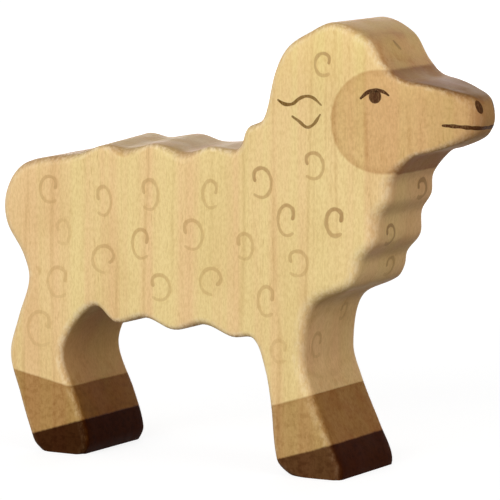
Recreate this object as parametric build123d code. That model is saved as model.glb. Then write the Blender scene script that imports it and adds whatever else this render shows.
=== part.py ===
from build123d import *
import os
from math import ceil, cos, hypot, radians, sin, sqrt

# Sheep figurine carved from one maple plank, finished in stain and paint.
# X runs from the tail to the nose, Y across the plank and Z up from the floor.
# The outline is laid out with x = 0 at the rump, and the finished part is moved so that
# its origin is at the middle of its box on the floor. All sizes are in millimetres.

# Plank and edge rounding
plank_thickness = 25.0
edge_round = 2.3
leg_front_round = 3.0
cap_round = 3.0
nose_round = 2.8
bridge_round = 1.7

# Rear leg
rear_sole_start = 9.7
rear_sole_length = 10.8
rear_toe_overhang = 1.2
hock_height = 21.0
hock_setback = 1.2
hollow_height = 37.6
hollow_depth = 6.0
stifle_height = 21.0
rear_leg_width = 14.1

# Trunk
rump_height = 54.4
croup_length = 9.2
croup_height = 64.1
loin_station = 19.6
loin_height = 65.7
withers_station = 59.2
withers_height = 68.7
belly_height = 30.5
flank_station = 24.4
flank_height = 32.3
back_ripples = 3
back_ripple_depth = 1.7
withers_step = 1.2
belly_ripples = 3
belly_ripple_depth = 1.8

# Front leg
front_leg_station = 66.8
front_leg_width = 8.6
front_sole_start = 4.2
front_sole_length = 13.7
forearm_height = 25.0
elbow_height = 28.4

# Chest
brisket_reach = 10.6
brisket_height = 40.6
chest_ripples = 3
chest_ripple_depth = 1.4

# Neck and head, measured from the withers
nape_rise = 4.4
neck_rise = 16.6
neck_reach = 9.3
crown_rise = 27.2
crown_reach = 22.8
brow_rise = 16.2
brow_reach = 37.7
bridge_drop = 2.6
nose_reach = 53.3
nose_drop = 8.7
chin_drop = 13.4
jaw_drop = 16.8
throat_drop = 21.6
taper_reach = 19.0
nose_half_width = 4.2

# Stain zones
face_radius = 10.6
face_setback = 4.7
face_drop = 8.9
hoof_height = 6.1
hoof_slope = 0.31
rear_sock_height = 15.2
rear_sock_slope = -0.2
front_sock_height = 17.8
front_sock_slope = 0.31

# Painted marks
paint_film = 0.15
pupil_radius = 1.25
lid_width = 0.6
mouth_width = 0.6
ear_width = 0.8
curl_reach = 2.3
curl_rise = 3.2
curl_width = 0.7
nostril_height = 2.4
nostril_width = 1.3


def between(start, end, share, bulge=0.0):
    """Point at a share of the line from start to end, pushed outwards by bulge."""
    run_x = end[0] - start[0]
    run_z = end[1] - start[1]
    length = hypot(run_x, run_z)
    x = start[0] + share * run_x - bulge * run_z / length
    z = start[1] + share * run_z + bulge * run_x / length
    return (x, z)


def edged(radius, *points):
    """Outline points that share one edge rounding."""
    return [(x, z, radius) for x, z in points]


def ripples(start, end, count, depth, crest_round, hollow_round):
    """Crests and hollows of a rippled edge, gouged deeper towards both sides in the hollows."""
    points = []
    for step in range(1, 2 * count):
        if step % 2 == 1:
            points += edged(crest_round, between(start, end, step / (2 * count), depth))
        else:
            points += edged(hollow_round, between(start, end, step / (2 * count)))
    return points


# Landmarks of the side outline
hock = (hock_setback, hock_height)
hollow = (hollow_depth, hollow_height)
rump = (0.0, rump_height)
croup = (croup_length, croup_height)
loin = (loin_station, loin_height)
withers = (withers_station, withers_height)
nape = (withers[0] + 2.3, withers[1] + nape_rise)
neck_top = (withers[0] + neck_reach, withers[1] + neck_rise)
crown = (withers[0] + crown_reach, withers[1] + crown_rise)
brow = (withers[0] + brow_reach, withers[1] + brow_rise)
nose = (withers[0] + nose_reach, brow[1] - nose_drop)
bridge = (nose[0] - 5.6, brow[1] - bridge_drop)
chin = (nose[0] - 4.2, brow[1] - chin_drop)
jaw = (brow[0] + 2.6, brow[1] - jaw_drop)
throat = (brow[0] - 1.6, brow[1] - throat_drop)
forearm = (front_leg_station + front_leg_width, forearm_height)
brisket = (forearm[0] + brisket_reach, brisket_height)
front_heel = front_leg_station + front_sole_start
front_toe = front_heel + front_sole_length
elbow = (front_leg_station - 4.0, elbow_height)
flank = (flank_station, flank_height)
stifle = (hock_setback + rear_leg_width, stifle_height)
rear_toe = rear_sole_start + rear_sole_length
half_thickness = plank_thickness / 2
taper_start = withers[0] + taper_reach
taper_length = nose[0] - taper_start
taper_drop = half_thickness - nose_half_width
taper_radius = (taper_length ** 2 + taper_drop ** 2) / (2 * taper_drop)


def rear_and_back():
    """Outline from the rear heel up over the rump and along the back."""
    heel = (rear_sole_start, 0.0)
    points = edged(edge_round, (rear_sole_start + 2.8, -2.0), heel)
    points += edged(edge_round, between(heel, hock, 0.1, 1.4), between(heel, hock, 0.22, 1.6))
    points += edged(edge_round, between(heel, hock, 0.58, 1.0), hock)
    points += edged(edge_round, between(hock, hollow, 0.5, 0.35), hollow)
    points += edged(edge_round, between(hollow, rump, 0.3, -0.55), between(hollow, rump, 0.72, 1.1))
    points += edged(edge_round, rump, between(rump, croup, 0.36, 2.2), between(rump, croup, 0.68, 2.2))
    points += edged(edge_round, croup, loin)
    base_end = (withers[0], withers[1] - withers_step)
    points += ripples(loin, base_end, back_ripples, back_ripple_depth, 1.7, 3.0)
    return points + edged(2.6, withers)


def head():
    """Outline of the nape, crown, face and jaw."""
    points = edged(2.0, nape, between(nape, neck_top, 0.26, -1.7), neck_top)
    points += edged(edge_round, between(neck_top, crown, 0.3, 2.3), between(neck_top, crown, 0.64, 2.2))
    points += edged(cap_round, crown, between(crown, brow, 0.42, 2.5), between(crown, brow, 0.75, 0.3))
    points += edged(edge_round, brow)
    points += edged(bridge_round, between(brow, bridge, 0.5, 0.1), bridge)
    points += edged(nose_round, between(bridge, nose, 0.52, 2.0), nose, between(nose, chin, 0.5, 1.0))
    return points + edged(edge_round, chin, between(chin, jaw, 0.6, 0.1), jaw)


def chest():
    """Outline from the throat down the rippled chest to the forearm."""
    points = edged(3.0, throat)
    points += ripples(throat, brisket, chest_ripples, chest_ripple_depth, 2.4, 3.3)
    return points + edged(leg_front_round, brisket, between(brisket, forearm, 0.47, -4.3), forearm)


def front_leg_and_belly():
    """Outline down the front leg, under its sole and along the rippled belly to the flank."""
    toe = (front_toe, 1.4)
    heel = (front_heel, 0.0)
    knee_back = (front_leg_station, 0.6 * forearm_height)
    points = edged(leg_front_round, between(forearm, toe, 0.25, -0.7), between(forearm, toe, 0.7, -0.3))
    points += edged(edge_round, toe, (front_toe - 1.3, -2.6), (front_toe - 5.3, -4.2))
    points += edged(edge_round, (front_heel + 3.0, -2.0), heel)
    points += edged(edge_round, between(heel, knee_back, 0.2, 1.8), knee_back)
    points += edged(edge_round, between(knee_back, elbow, 0.5, -1.0), elbow)
    start = (front_leg_station - 2.0, belly_height - 0.5)
    end = (flank_station - 1.8, belly_height + 1.0)
    return points + ripples(start, end, belly_ripples, belly_ripple_depth, 2.0, 2.6)


def rear_leg_front():
    """Outline from the flank down the front of the rear leg and under its sole."""
    toe = (rear_toe + rear_toe_overhang, 3.0)
    points = edged(edge_round, flank, between(flank, stifle, 0.55, -1.9), stifle)
    points += edged(edge_round, between(stifle, toe, 0.55, 0.4), toe)
    return points + edged(edge_round, (rear_toe, 0.0), (rear_toe - 2.9, -3.2))


chest_section = chest()
sections = [rear_and_back(), head(), chest_section, front_leg_and_belly(), rear_leg_front()]
outline = [point for section in sections for point in section]


def half_width(x, film=0.0):
    """Half of the figure's width at a station, which follows a plan arc from the neck to the nose."""
    ahead = max(0.0, x - taper_start)
    return half_thickness - taper_radius + sqrt((taper_radius + film) ** 2 - ahead ** 2)


def ring_point(index, turn, rise):
    """Outline point moved inwards by turn and below the side face by 1 - rise, in roundings."""
    before, after = outline[index - 1], outline[(index + 1) % len(outline)]
    x, z, radius = outline[index]
    along = hypot(after[0] - before[0], after[1] - before[1])
    x += turn * radius * (after[1] - before[1]) / along
    z -= turn * radius * (after[0] - before[0]) / along
    return (x, half_width(x) - (1 - rise) * radius, z)


def runs(number, longest=5):
    """Stretches of outline indices that make up one section, each of a few points."""
    first = sum(len(section) for section in sections[:number])
    length = len(sections[number])
    pieces = ceil(length / longest)
    cuts = [first + k * length // pieces for k in range(pieces + 1)]
    return list(zip(cuts, cuts[1:]))


def ring_edges(points, numbers=range(len(sections))):
    """Smooth edges through the ring's points along the numbered sections of the outline."""
    count = len(points)
    spans = [hypot(q[0] - p[0], q[1] - p[1]) for p, q in zip(outline, outline[1:] + outline[:1])]
    slopes = []
    for i in range(count):
        gap = Vector(points[(i + 1) % count]) - Vector(points[i - 1])
        slopes.append(gap * (1 / (spans[i] + spans[i - 1])))
    edges = []
    for number in numbers:
        for first, last in runs(number):
            run = [points[i % count] for i in range(first, last + 1)]
            marks = [sum(spans[first:i]) for i in range(first, last + 1)]
            ends = [slopes[first], slopes[last % count]]
            edges.append(Edge.make_spline(run, tangents=ends, parameters=marks, scale=False))
    return edges


def rounded_plank():
    """Plank sawn to the outline, its edges taken off in facets that follow the rounding."""
    rounding = [(0.0, 0.0), (0.134, 0.5), (0.5, 0.866), (1.25, 1.067)]
    rings = []
    for turn, rise in rounding:
        rings.append([ring_point(i, turn, rise) for i in range(len(outline))])
    rings.append([(x, half_thickness + 3.0, z) for x, y, z in rings[-1]])
    both = [[(x, -y, z) for x, y, z in ring] for ring in reversed(rings)] + rings
    edges = [ring_edges(ring) for ring in both]
    faces = [Face(Wire(edges[0])), Face(Wire(edges[-1]))]
    for lower, upper in zip(edges, edges[1:]):
        faces += [Face.make_surface_from_curves(p, q) for p, q in zip(lower, upper)]
    return Solid(Shell(faces))


def side_curve(film=0.0):
    """Plan arc of the left side, from the taper's start to ahead of the nose."""
    stations = (taper_start, taper_start + taper_length / 2, nose[0] + 1.0)
    return ThreePointArc(*[(x, half_width(x, film)) for x in stations])


def plan_face():
    """Plan of the tapered plank."""
    left = side_curve()
    end = left @ 1
    rear = -20.0
    sides = Polyline(
        (taper_start, half_thickness),
        (rear, half_thickness),
        (rear, -half_thickness),
        (taper_start, -half_thickness),
    )
    front = Line((end.X, end.Y), (end.X, -end.Y))
    return make_face([left, mirror(left, Plane.XZ), front, *sides.edges()])


figure = rounded_plank() & extrude(plan_face(), 150.0)


def side_prism(face):
    """Shape of the side view, drawn in x and z, as a prism across the plank."""
    return Pos(0, 30, 0) * extrude(Plane.XZ * face, 60)


def across(*corners):
    """Prism across the plank with the given corners in the side view."""
    return side_prism(make_face(Polyline(*corners, close=True)))


def below_line(height, slope, middle, start, end):
    """Everything under a sloping line that passes at a height over the middle of a leg."""
    low = height + slope * (start - middle)
    high = height + slope * (end - middle)
    return across((start, -10), (end, -10), (end, high), (start, low))


def face_zone():
    """Everything ahead of the round border of the face, between the brow and the throat."""
    centre_x = brow[0] - face_setback
    centre_z = brow[1] - face_drop
    disc = Pos(centre_x, centre_z) * Circle(face_radius)
    ahead = across(
        (brow[0] - 0.3, brow[1] + 0.6),
        (brow[0] + 40, brow[1] + 30),
        (brow[0] + 40, throat[1] - 40),
        (throat[0] - 0.6, throat[1] + 0.8),
        (centre_x, centre_z),
    )
    return ahead + side_prism(disc)


def stain_zones():
    """The figure cut into the zones of its finish, which meet face to face."""
    rear_middle = (rear_sole_start + rear_toe) / 2
    front_middle = (front_heel + front_toe) / 2
    gap_middle = (rear_toe + front_heel) / 2
    rear_hoof = below_line(hoof_height, hoof_slope, rear_middle, -20, gap_middle)
    rear_leg = below_line(rear_sock_height, rear_sock_slope, rear_middle, -20, gap_middle)
    front_hoof = below_line(hoof_height, hoof_slope, front_middle, gap_middle, 140)
    front_leg = below_line(front_sock_height, front_sock_slope, front_middle, gap_middle, 140)
    muzzle = face_zone()
    return {
        "fleece_body": figure - muzzle - rear_leg - front_leg,
        "face": figure & muzzle,
        "rear_sock": (figure & rear_leg) - rear_hoof,
        "rear_hoof": figure & rear_hoof,
        "front_sock": (figure & front_leg) - front_hoof,
        "front_hoof": figure & front_hoof,
    }


def stroke(origin, offsets, width, steps=9):
    """Brush stroke in short steps along a smooth line whose points are measured from a landmark."""
    path = Spline(*[(origin[0] + x, origin[1] + z) for x, z in offsets])
    upper, lower = [], []
    for k in range(steps + 1):
        place = path @ (k / steps)
        run = path % (k / steps)
        across = Vector(-run.Y, run.X) * (width / 2)
        upper.append(place + across)
        lower.append(place - across)
    return side_prism(make_face(Polyline(*upper, *reversed(lower), close=True)))


def paint_layer(side):
    """Paint film over one whole side, from which the marks on that side are cut."""
    inner = side_curve()
    outer = side_curve(paint_film)
    rim = half_thickness + paint_film
    rear = Polyline((taper_start, half_thickness), (0, half_thickness), (0, rim), (taper_start, rim))
    front = Line(inner @ 1, outer @ 1)
    layer = extrude(make_face([inner, outer, front, *rear.edges()]), crown[1])
    return layer if side > 0 else mirror(layer, Plane.XZ)


def film_on(base, prism, outwards):
    """Paint film on a curved surface: the prism's share of a shifted copy, less the wood itself."""
    shifted = Pos(*[paint_film * step for step in outwards]) * base
    return (shifted & prism) - base


def eye_shape():
    """Pupil that hangs from a curved upper lid."""
    lid = [(-8.4, -4.0), (-6.7, -2.7), (-5.1, -2.2), (-3.4, -2.4), (-2.0, -3.3)]
    pupil = Pos(brow[0] - 5.1, brow[1] - 2.3 - pupil_radius) * Circle(pupil_radius)
    return stroke(brow, lid, lid_width) + side_prism(pupil)


def ear_shape():
    """Two curved strokes that outline a folded ear."""
    upper = [(-27.4, -5.1), (-25.7, -5.9), (-23.8, -5.8), (-22.1, -4.5), (-20.4, -3.9), (-16.8, -5.7)]
    lower = [(-24.0, -8.5), (-22.3, -9.5), (-20.4, -10.7), (-18.7, -10.0), (-17.1, -7.8)]
    return stroke(brow, upper, ear_width) + stroke(brow, lower, ear_width)


def curl(x, z, opening):
    """Open oval of paint in short straight steps, with its gap towards an angle."""
    corners = []
    for rim, step in ((curl_width / 2, 40), (-curl_width / 2, -40)):
        first = opening + (60 if step > 0 else 300)
        for k in range(7):
            turn = radians(first + k * step)
            corners.append((x + (curl_reach + rim) * cos(turn), z + (curl_rise + rim) * sin(turn)))
    return make_face(Polyline(*corners, close=True))


def side_curls():
    """Curls over one side: shares along the trunk and up it, then the legs, neck and head."""
    trunk = [
        (0.15, 0.73, 0), (0.34, 0.66, 180), (0.50, 0.71, 180), (0.70, 0.74, 0), (0.20, 0.47, 0),
        (0.35, 0.34, 310), (0.47, 0.44, 0), (0.64, 0.50, 180), (0.19, 0.18, 0), (0.53, 0.19, 180),
        (0.71, 0.25, 270), (0.86, 0.82, 180), (0.81, 0.47, 180), (0.95, 0.62, 0), (0.98, 0.39, 180),
        (0.88, 0.16, 0),
    ]
    depth = withers_height - belly_height
    faces = [curl(along * forearm[0], belly_height + up * depth, turn) for along, up, turn in trunk]
    faces.append(curl(hock[0] + 8.4, hock[1] + 6.2, 0))
    faces.append(curl(front_leg_station + 2.8, forearm_height + 1.1, 180))
    for x, z, turn in ((-13.9, -30.5, 0), (-18.7, -19.0, 180), (-16.8, 2.7, 0)):
        faces.append(curl(brow[0] + x, brow[1] + z, turn))
    return Compound([side_prism(face) for face in faces])


def chest_layer():
    """Paint film over the front of the chest and of the forearm, inside their edge rounding."""
    reach = half_thickness - leg_front_round
    inner = ring_edges([(x, -reach, z) for x, z, radius in outline], [sections.index(chest_section)])
    outer = [Pos(paint_film, 0, 0) * edge for edge in inner]
    joins = [Line(inner[0] @ 0, outer[0] @ 0), Line(inner[-1] @ 1, outer[-1] @ 1)]
    return extrude(Face(Wire([*inner, *outer, *joins])), 2 * reach, dir=(0, 1, 0))


def front_curls():
    """Curls on the front of the chest and of the front leg, seen along X."""
    chest_middle = (throat[1] + brisket[1]) / 2
    spots = [
        (4.0, throat[1] - 4.0, 0),
        (-4.0, chest_middle, 180),
        (4.0, brisket[1] + 4.5, 0),
        (-6.0, forearm_height + 4.0, 0),
    ]
    return Compound([Pos(withers[0], 0, 0) * extrude(Plane.YZ * curl(*spot), 60) for spot in spots])


def nostril_prism(side):
    """Upright ellipse that points out of one corner of the nose."""
    start = (nose[0] - 3.0, side * 2.0, nose[1] + 3.0)
    corner = Plane(start, x_dir=(0.7, -0.7 * side, 0), z_dir=(0.7, 0.7 * side, 0))
    return extrude(corner * Ellipse(nostril_width / 2, nostril_height / 2), 12)


def mouth_half(side, face_wood):
    """One half of the mouth line, from the cheek round to the middle of the nose."""
    line = stroke(nose, [(-7.8, -1.1), (-5.0, -0.8), (-2.0, -1.1), (3.0, -1.2)], mouth_width)
    half = line & Pos(nose[0], side * 15, nose[1]) * Box(60, 30, 30)
    return film_on(face_wood, half, (0.7, 0.7 * side, 0))


nodes = stain_zones()
head_wood = nodes["face"]
for name, side in (("right", -1), ("left", 1)):
    layer = paint_layer(side)
    nodes[name + "_eye"] = layer & eye_shape()
    nodes[name + "_ear_outline"] = layer & ear_shape()
    nodes[name + "_fleece_curls"] = layer & side_curls()
    nodes[name + "_nostril"] = film_on(head_wood, nostril_prism(side), (0.7, 0.7 * side, 0))
nodes["mouth_line"] = mouth_half(-1, head_wood) + mouth_half(1, head_wood)
nodes["chest_curls"] = chest_layer() & front_curls()

box = figure.bounding_box()
to_origin = Pos(-(box.min.X + box.max.X) / 2, 0, 0)
os.makedirs("parts", exist_ok=True)
for name, shape in nodes.items():
    export_step(to_origin * shape, "parts/" + name + ".step")
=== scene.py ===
"""Looks of a carved wooden sheep figurine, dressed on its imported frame."""
import logging
import math
from dataclasses import dataclass, replace
from enum import Enum

import bmesh
import bpy
import numpy as np
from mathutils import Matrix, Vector, geometry, noise
from mathutils.bvhtree import BVHTree


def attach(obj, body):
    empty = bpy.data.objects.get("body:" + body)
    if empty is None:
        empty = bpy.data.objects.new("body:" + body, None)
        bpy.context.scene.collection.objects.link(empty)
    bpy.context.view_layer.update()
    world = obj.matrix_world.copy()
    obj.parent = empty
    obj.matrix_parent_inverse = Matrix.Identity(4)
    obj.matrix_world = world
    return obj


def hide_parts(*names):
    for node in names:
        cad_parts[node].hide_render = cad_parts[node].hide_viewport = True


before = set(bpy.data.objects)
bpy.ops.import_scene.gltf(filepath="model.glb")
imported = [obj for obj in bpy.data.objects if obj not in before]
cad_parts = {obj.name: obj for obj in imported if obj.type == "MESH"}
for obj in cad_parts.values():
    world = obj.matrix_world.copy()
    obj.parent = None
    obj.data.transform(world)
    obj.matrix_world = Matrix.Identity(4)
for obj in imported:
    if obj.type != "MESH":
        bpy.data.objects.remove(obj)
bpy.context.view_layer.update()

LOG = logging.getLogger("sheep")
MM = 0.001
RUMP_TO_MIDDLE = 56.25

Flat = tuple[float, float]
Triple = tuple[float, float, float]
Edged = Triple
Colour = tuple[float, float, float, float]
Mesh = bmesh.types.BMesh
Material = bpy.types.Material
Socket = bpy.types.NodeSocket


class Side(Enum):
    """Side of the figure, with its sign along Y."""

    RIGHT = -1
    LEFT = 1


class Zone(Enum):
    """Zone of the finish, with the node that it stands for."""

    FLEECE = "fleece_body"
    FACE = "face"
    REAR_SOCK = "rear_sock"
    REAR_HOOF = "rear_hoof"
    FRONT_SOCK = "front_sock"
    FRONT_HOOF = "front_hoof"


class Slot(Enum):
    """Material slot of the record."""

    PALE_MAPLE = "pale_maple"
    TAN_STAIN = "tan_stain"
    SOCK_STAIN = "sock_stain"
    HOOF_STAIN = "hoof_stain"
    DARK_PAINT = "dark_paint"
    OCHRE_PAINT = "ochre_paint"


class Lay(Enum):
    """Way in which a painted mark is laid on the wood."""

    RIGHT_SIDE = "right side"
    LEFT_SIDE = "left side"
    CHEST = "chest"
    MUZZLE = "muzzle"


def to_frame(x: float, y: float, z: float) -> Vector:
    """Moves a point from millimetres ahead of the rump into the frame's metres."""
    return Vector(((x - RUMP_TO_MIDDLE) * MM, y * MM, z * MM))


def shifted(point: Flat, offset: Flat) -> Flat:
    """Moves a point of the side view."""
    return point[0] + offset[0], point[1] + offset[1]


def between(start: Flat, end: Flat, share: float, bulge: float) -> Flat:
    """Finds a point on a line, pushed outwards from the outline.

    Args:
        start: First end of the line.
        end: Second end of the line.
        share: Share of the way from start to end.
        bulge: Distance to push the point outwards.

    Returns:
        The point in the side view.
    """
    run_x = end[0] - start[0]
    run_z = end[1] - start[1]
    length = math.hypot(run_x, run_z)
    return (
        start[0] + share * run_x - bulge * run_z / length,
        start[1] + share * run_z + bulge * run_x / length,
    )


def edged(rounding: float, *points: Flat) -> list[Edged]:
    """Gives points of the side view one edge rounding."""
    return [(x, z, rounding) for x, z in points]


def spans_of(points: list[Edged]) -> list[float]:
    """Measures the way from each point of a closed line to the next in the side view."""
    return [math.dist(p[:2], q[:2]) for p, q in zip(points, points[1:] + points[:1])]


def hermite(start: Edged, end: Edged, leave: Edged, reach: Edged, share: float) -> Edged:
    """Blends two points with their slopes along a cubic.

    Args:
        start: Values at the start.
        end: Values at the end.
        leave: Slopes at the start, over the whole stretch.
        reach: Slopes at the end, over the whole stretch.
        share: Share of the stretch.

    Returns:
        The values at that share.
    """
    s2 = share * share
    s3 = s2 * share
    return tuple(
        (2 * s3 - 3 * s2 + 1) * p + (s3 - 2 * s2 + share) * m + (3 * s2 - 2 * s3) * q + (s3 - s2) * n
        for p, q, m, n in zip(start, end, leave, reach)
    )


@dataclass(frozen=True)
class EdgePoint:
    """Point of the smooth outline: place, outward direction and edge rounding."""

    x: float
    z: float
    out_x: float
    out_z: float
    rounding: float


@dataclass(frozen=True)
class SheepOutline:
    """Side outline of the sheep, in millimetres ahead of the rump and over the floor.

    Landmarks come first. A swell, hollow or wave lies between two landmarks and holds its share of the way
    and its bulge. A sole holds distances ahead of a landmark and heights, which end at the floor.
    """

    hock: Flat = (1.8, 21.0)
    hollow: Flat = (6.4, 37.6)
    rump: Flat = (0.1, 54.4)
    croup: Flat = (9.2, 64.1)
    loin: Flat = (19.6, 65.7)
    withers: Flat = (59.2, 68.7)
    nape: Flat = (61.5, 73.1)
    neck_top: Flat = (68.2, 85.4)
    crown: Flat = (82.0, 95.9)
    brow: Flat = (96.7, 84.7)
    bridge: Flat = (106.9, 82.3)
    nose: Flat = (112.5, 76.2)
    chin: Flat = (108.3, 71.5)
    jaw: Flat = (99.3, 68.4)
    throat: Flat = (95.0, 63.4)
    brisket: Flat = (85.9, 40.7)
    forearm: Flat = (75.0, 25.4)
    front_toe: Flat = (84.3, 1.6)
    front_heel: Flat = (70.9, 0.6)
    front_knee: Flat = (67.1, 15.0)
    elbow: Flat = (62.9, 28.4)
    flank: Flat = (23.6, 32.7)
    stifle: Flat = (15.3, 21.0)
    rear_toe: Flat = (20.5, 0.0)
    rear_heel: Flat = (9.7, 0.0)
    belly_height: float = 30.5
    rear_hoof_swells: tuple[Flat, ...] = ((0.1, 1.2), (0.22, 1.3))
    hock_swell: Flat = (0.58, 0.8)
    thigh_swell: Flat = (0.5, 0.35)
    rump_swells: tuple[Flat, ...] = ((0.3, -0.35), (0.72, 1.15))
    croup_swells: tuple[Flat, ...] = ((0.36, 2.2), (0.68, 2.2))
    nape_hollow: Flat = (0.26, -2.3)
    cap_rear_swell: Flat = (0.3, 2.3)
    cap_top_swell: Flat = (0.64, 1.8)
    forehead_swell: Flat = (0.42, 2.2)
    brow_swell: Flat = (0.75, 0.3)
    bridge_swell: Flat = (0.5, 0.1)
    nose_swell: Flat = (0.52, 2.0)
    lip_swell: Flat = (0.5, 1.0)
    jaw_swell: Flat = (0.6, 0.1)
    brisket_hollow: Flat = (0.47, -4.3)
    forearm_hollow: Flat = (0.25, -0.7)
    shin_hollow: Flat = (0.7, -0.3)
    front_hoof_swell: Flat = (0.2, 1.6)
    elbow_hollow: Flat = (0.5, -1.0)
    flank_hollow: Flat = (0.55, -1.9)
    stifle_swell: Flat = (0.55, 0.4)
    right_back: tuple[Flat, ...] = ((0.167, 1.8), (0.3, 1.0), (0.49, 2.1), (0.667, 0.3), (0.833, 1.5))
    left_back: tuple[Flat, ...] = ((0.167, 1.2), (0.333, 0.5), (0.5, 1.2), (0.667, -0.2), (0.833, -0.1))
    chest_waves: tuple[Flat, ...] = ((0.17, 1.1), (0.35, 0.4), (0.55, 1.7), (0.75, 0.2), (0.88, 0.5))
    belly_waves: tuple[Flat, ...] = ((0.167, 1.8), (0.333, 0.0), (0.5, 1.8), (0.667, 0.0), (0.833, 1.8))
    withers_drop: Flat = (0.0, -1.2)
    left_lift: Flat = (0.0, 0.3)
    left_loin_shift: Flat = (-3.1, 1.3)
    left_withers_shift: Flat = (-3.1, 0.8)
    belly_start: Flat = (-2.0, -0.5)
    belly_end: Flat = (-1.8, 1.0)
    rear_heel_sole: Flat = (2.8, -2.0)
    rear_toe_front: Flat = (1.2, 3.0)
    rear_toe_sole: Flat = (-2.9, -3.2)
    front_toe_soles: tuple[Flat, ...] = ((-1.4, -2.5), (-5.3, -4.2))
    front_heel_sole: Flat = (3.4, -1.0)
    half_thickness: float = 12.5
    nose_half_width: float = 4.2
    taper_start: float = 78.2
    crisp_edge: float = 1.2
    slim_edge: float = 1.6
    leg_edge: float = 1.7
    bridge_edge: float = 1.7
    round_edge: float = 1.8
    full_edge: float = 2.0
    forearm_edge: float = 2.1
    soft_edge: float = 2.2
    deep_edge: float = 2.4
    nose_edge: float = 2.6
    chest_edges: Flat = (2.2, 2.8)
    belly_edges: Flat = (1.4, 1.9)
    sample_step: float = 0.8
    least_steps: int = 3
    uneven_share: float = 0.16
    uneven_pitch: float = 0.11
    uneven_level: float = 4.2

    def half_width(self, x: float) -> float:
        """Gives half of the figure's width, which follows a plan arc to the nose.

        Args:
            x: Distance ahead of the rump.

        Returns:
            The distance from the middle to a flat side.
        """
        length = self.nose[0] - self.taper_start
        drop = self.half_thickness - self.nose_half_width
        radius = (length**2 + drop**2) / (2 * drop)
        ahead = max(0.0, x - self.taper_start)
        return self.half_thickness - radius + math.sqrt(radius**2 - ahead**2)

    def ripples(self, start: Flat, end: Flat, waves: tuple[Flat, ...], edges: Flat) -> list[Edged]:
        """Lays out the crests and hollows of a rippled edge.

        Args:
            start: Start of the base line.
            end: End of the base line.
            waves: Crests and hollows in turn, each as its share of the line and its height over it.
            edges: Edge rounding on a crest and in a hollow.

        Returns:
            The points of the ripples.
        """
        points = []
        for step, wave in enumerate(waves):
            points += edged(edges[step % 2], between(start, end, *wave))
        return points

    def soles(self, mark: Flat, *places: Flat) -> list[Edged]:
        """Lays out leg points by their distance ahead of a landmark and their height."""
        return edged(self.leg_edge, *((mark[0] + ahead, height) for ahead, height in places))

    def rear_and_back(self, side: Side) -> list[Edged]:
        """Goes from the rear heel up over the rump and along the back.

        Args:
            side: Side of the figure.

        Returns:
            The points of this stretch.
        """
        leg, soft = (self.leg_edge,) * 2, (self.soft_edge,) * 2
        heel, hock, hollow, rump, croup = self.rear_heel, self.hock, self.hollow, self.rump, self.croup
        points = self.soles(heel, self.rear_heel_sole) + edged(self.leg_edge, heel)
        points += self.ripples(heel, hock, self.rear_hoof_swells, leg)
        points += edged(self.crisp_edge, between(heel, hock, *self.hock_swell), hock)
        points += edged(self.round_edge, between(hock, hollow, *self.thigh_swell), hollow)
        points += self.ripples(hollow, rump, self.rump_swells, soft) + edged(self.soft_edge, rump)
        points += self.ripples(rump, croup, self.croup_swells, soft)
        loin, start, end = self.loin, self.loin, shifted(self.withers, self.withers_drop)
        waves = self.right_back
        if side is Side.LEFT:
            croup, loin = shifted(croup, self.left_lift), shifted(loin, self.left_lift)
            start, end = shifted(start, self.left_loin_shift), shifted(end, self.left_withers_shift)
            waves = self.left_back
        points += edged(self.soft_edge, croup) + edged(self.round_edge, loin)
        points += self.ripples(start, end, waves, (self.crisp_edge, self.deep_edge))
        return points + edged(self.full_edge, self.withers)

    def head(self) -> list[Edged]:
        """Goes over the nape, the cap and the muzzle to the jaw.

        Returns:
            The points of this stretch.
        """
        nape, top, crown, brow = self.nape, self.neck_top, self.crown, self.brow
        bridge, nose, chin, jaw = self.bridge, self.nose, self.chin, self.jaw
        points = edged(self.round_edge, nape, between(nape, top, *self.nape_hollow), top)
        points += edged(self.soft_edge, between(top, crown, *self.cap_rear_swell))
        points += edged(self.full_edge, between(top, crown, *self.cap_top_swell))
        points += edged(self.round_edge, crown, between(crown, brow, *self.forehead_swell))
        points += edged(self.slim_edge, between(crown, brow, *self.brow_swell))
        points += edged(self.crisp_edge, brow, between(brow, bridge, *self.bridge_swell))
        points += edged(self.bridge_edge, bridge)
        points += edged(self.nose_edge, between(bridge, nose, *self.nose_swell), nose)
        points += edged(self.nose_edge, between(nose, chin, *self.lip_swell))
        points += edged(self.slim_edge, chin)
        return points + edged(self.crisp_edge, between(chin, jaw, *self.jaw_swell), jaw)

    def chest_and_front_leg(self) -> list[Edged]:
        """Goes from the throat down the rippled chest and the front leg to its sole.

        Returns:
            The points of this stretch.
        """
        brisket, forearm, toe = self.brisket, self.forearm, self.front_toe
        points = edged(self.deep_edge, self.throat)
        points += self.ripples(self.throat, brisket, self.chest_waves, self.chest_edges)
        points += edged(self.deep_edge, brisket, between(brisket, forearm, *self.brisket_hollow), forearm)
        points += edged(self.forearm_edge, between(forearm, toe, *self.forearm_hollow))
        points += edged(self.leg_edge, between(forearm, toe, *self.shin_hollow), toe)
        points += self.soles(toe, *self.front_toe_soles)
        return points + self.soles(self.front_heel, self.front_heel_sole)

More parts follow.
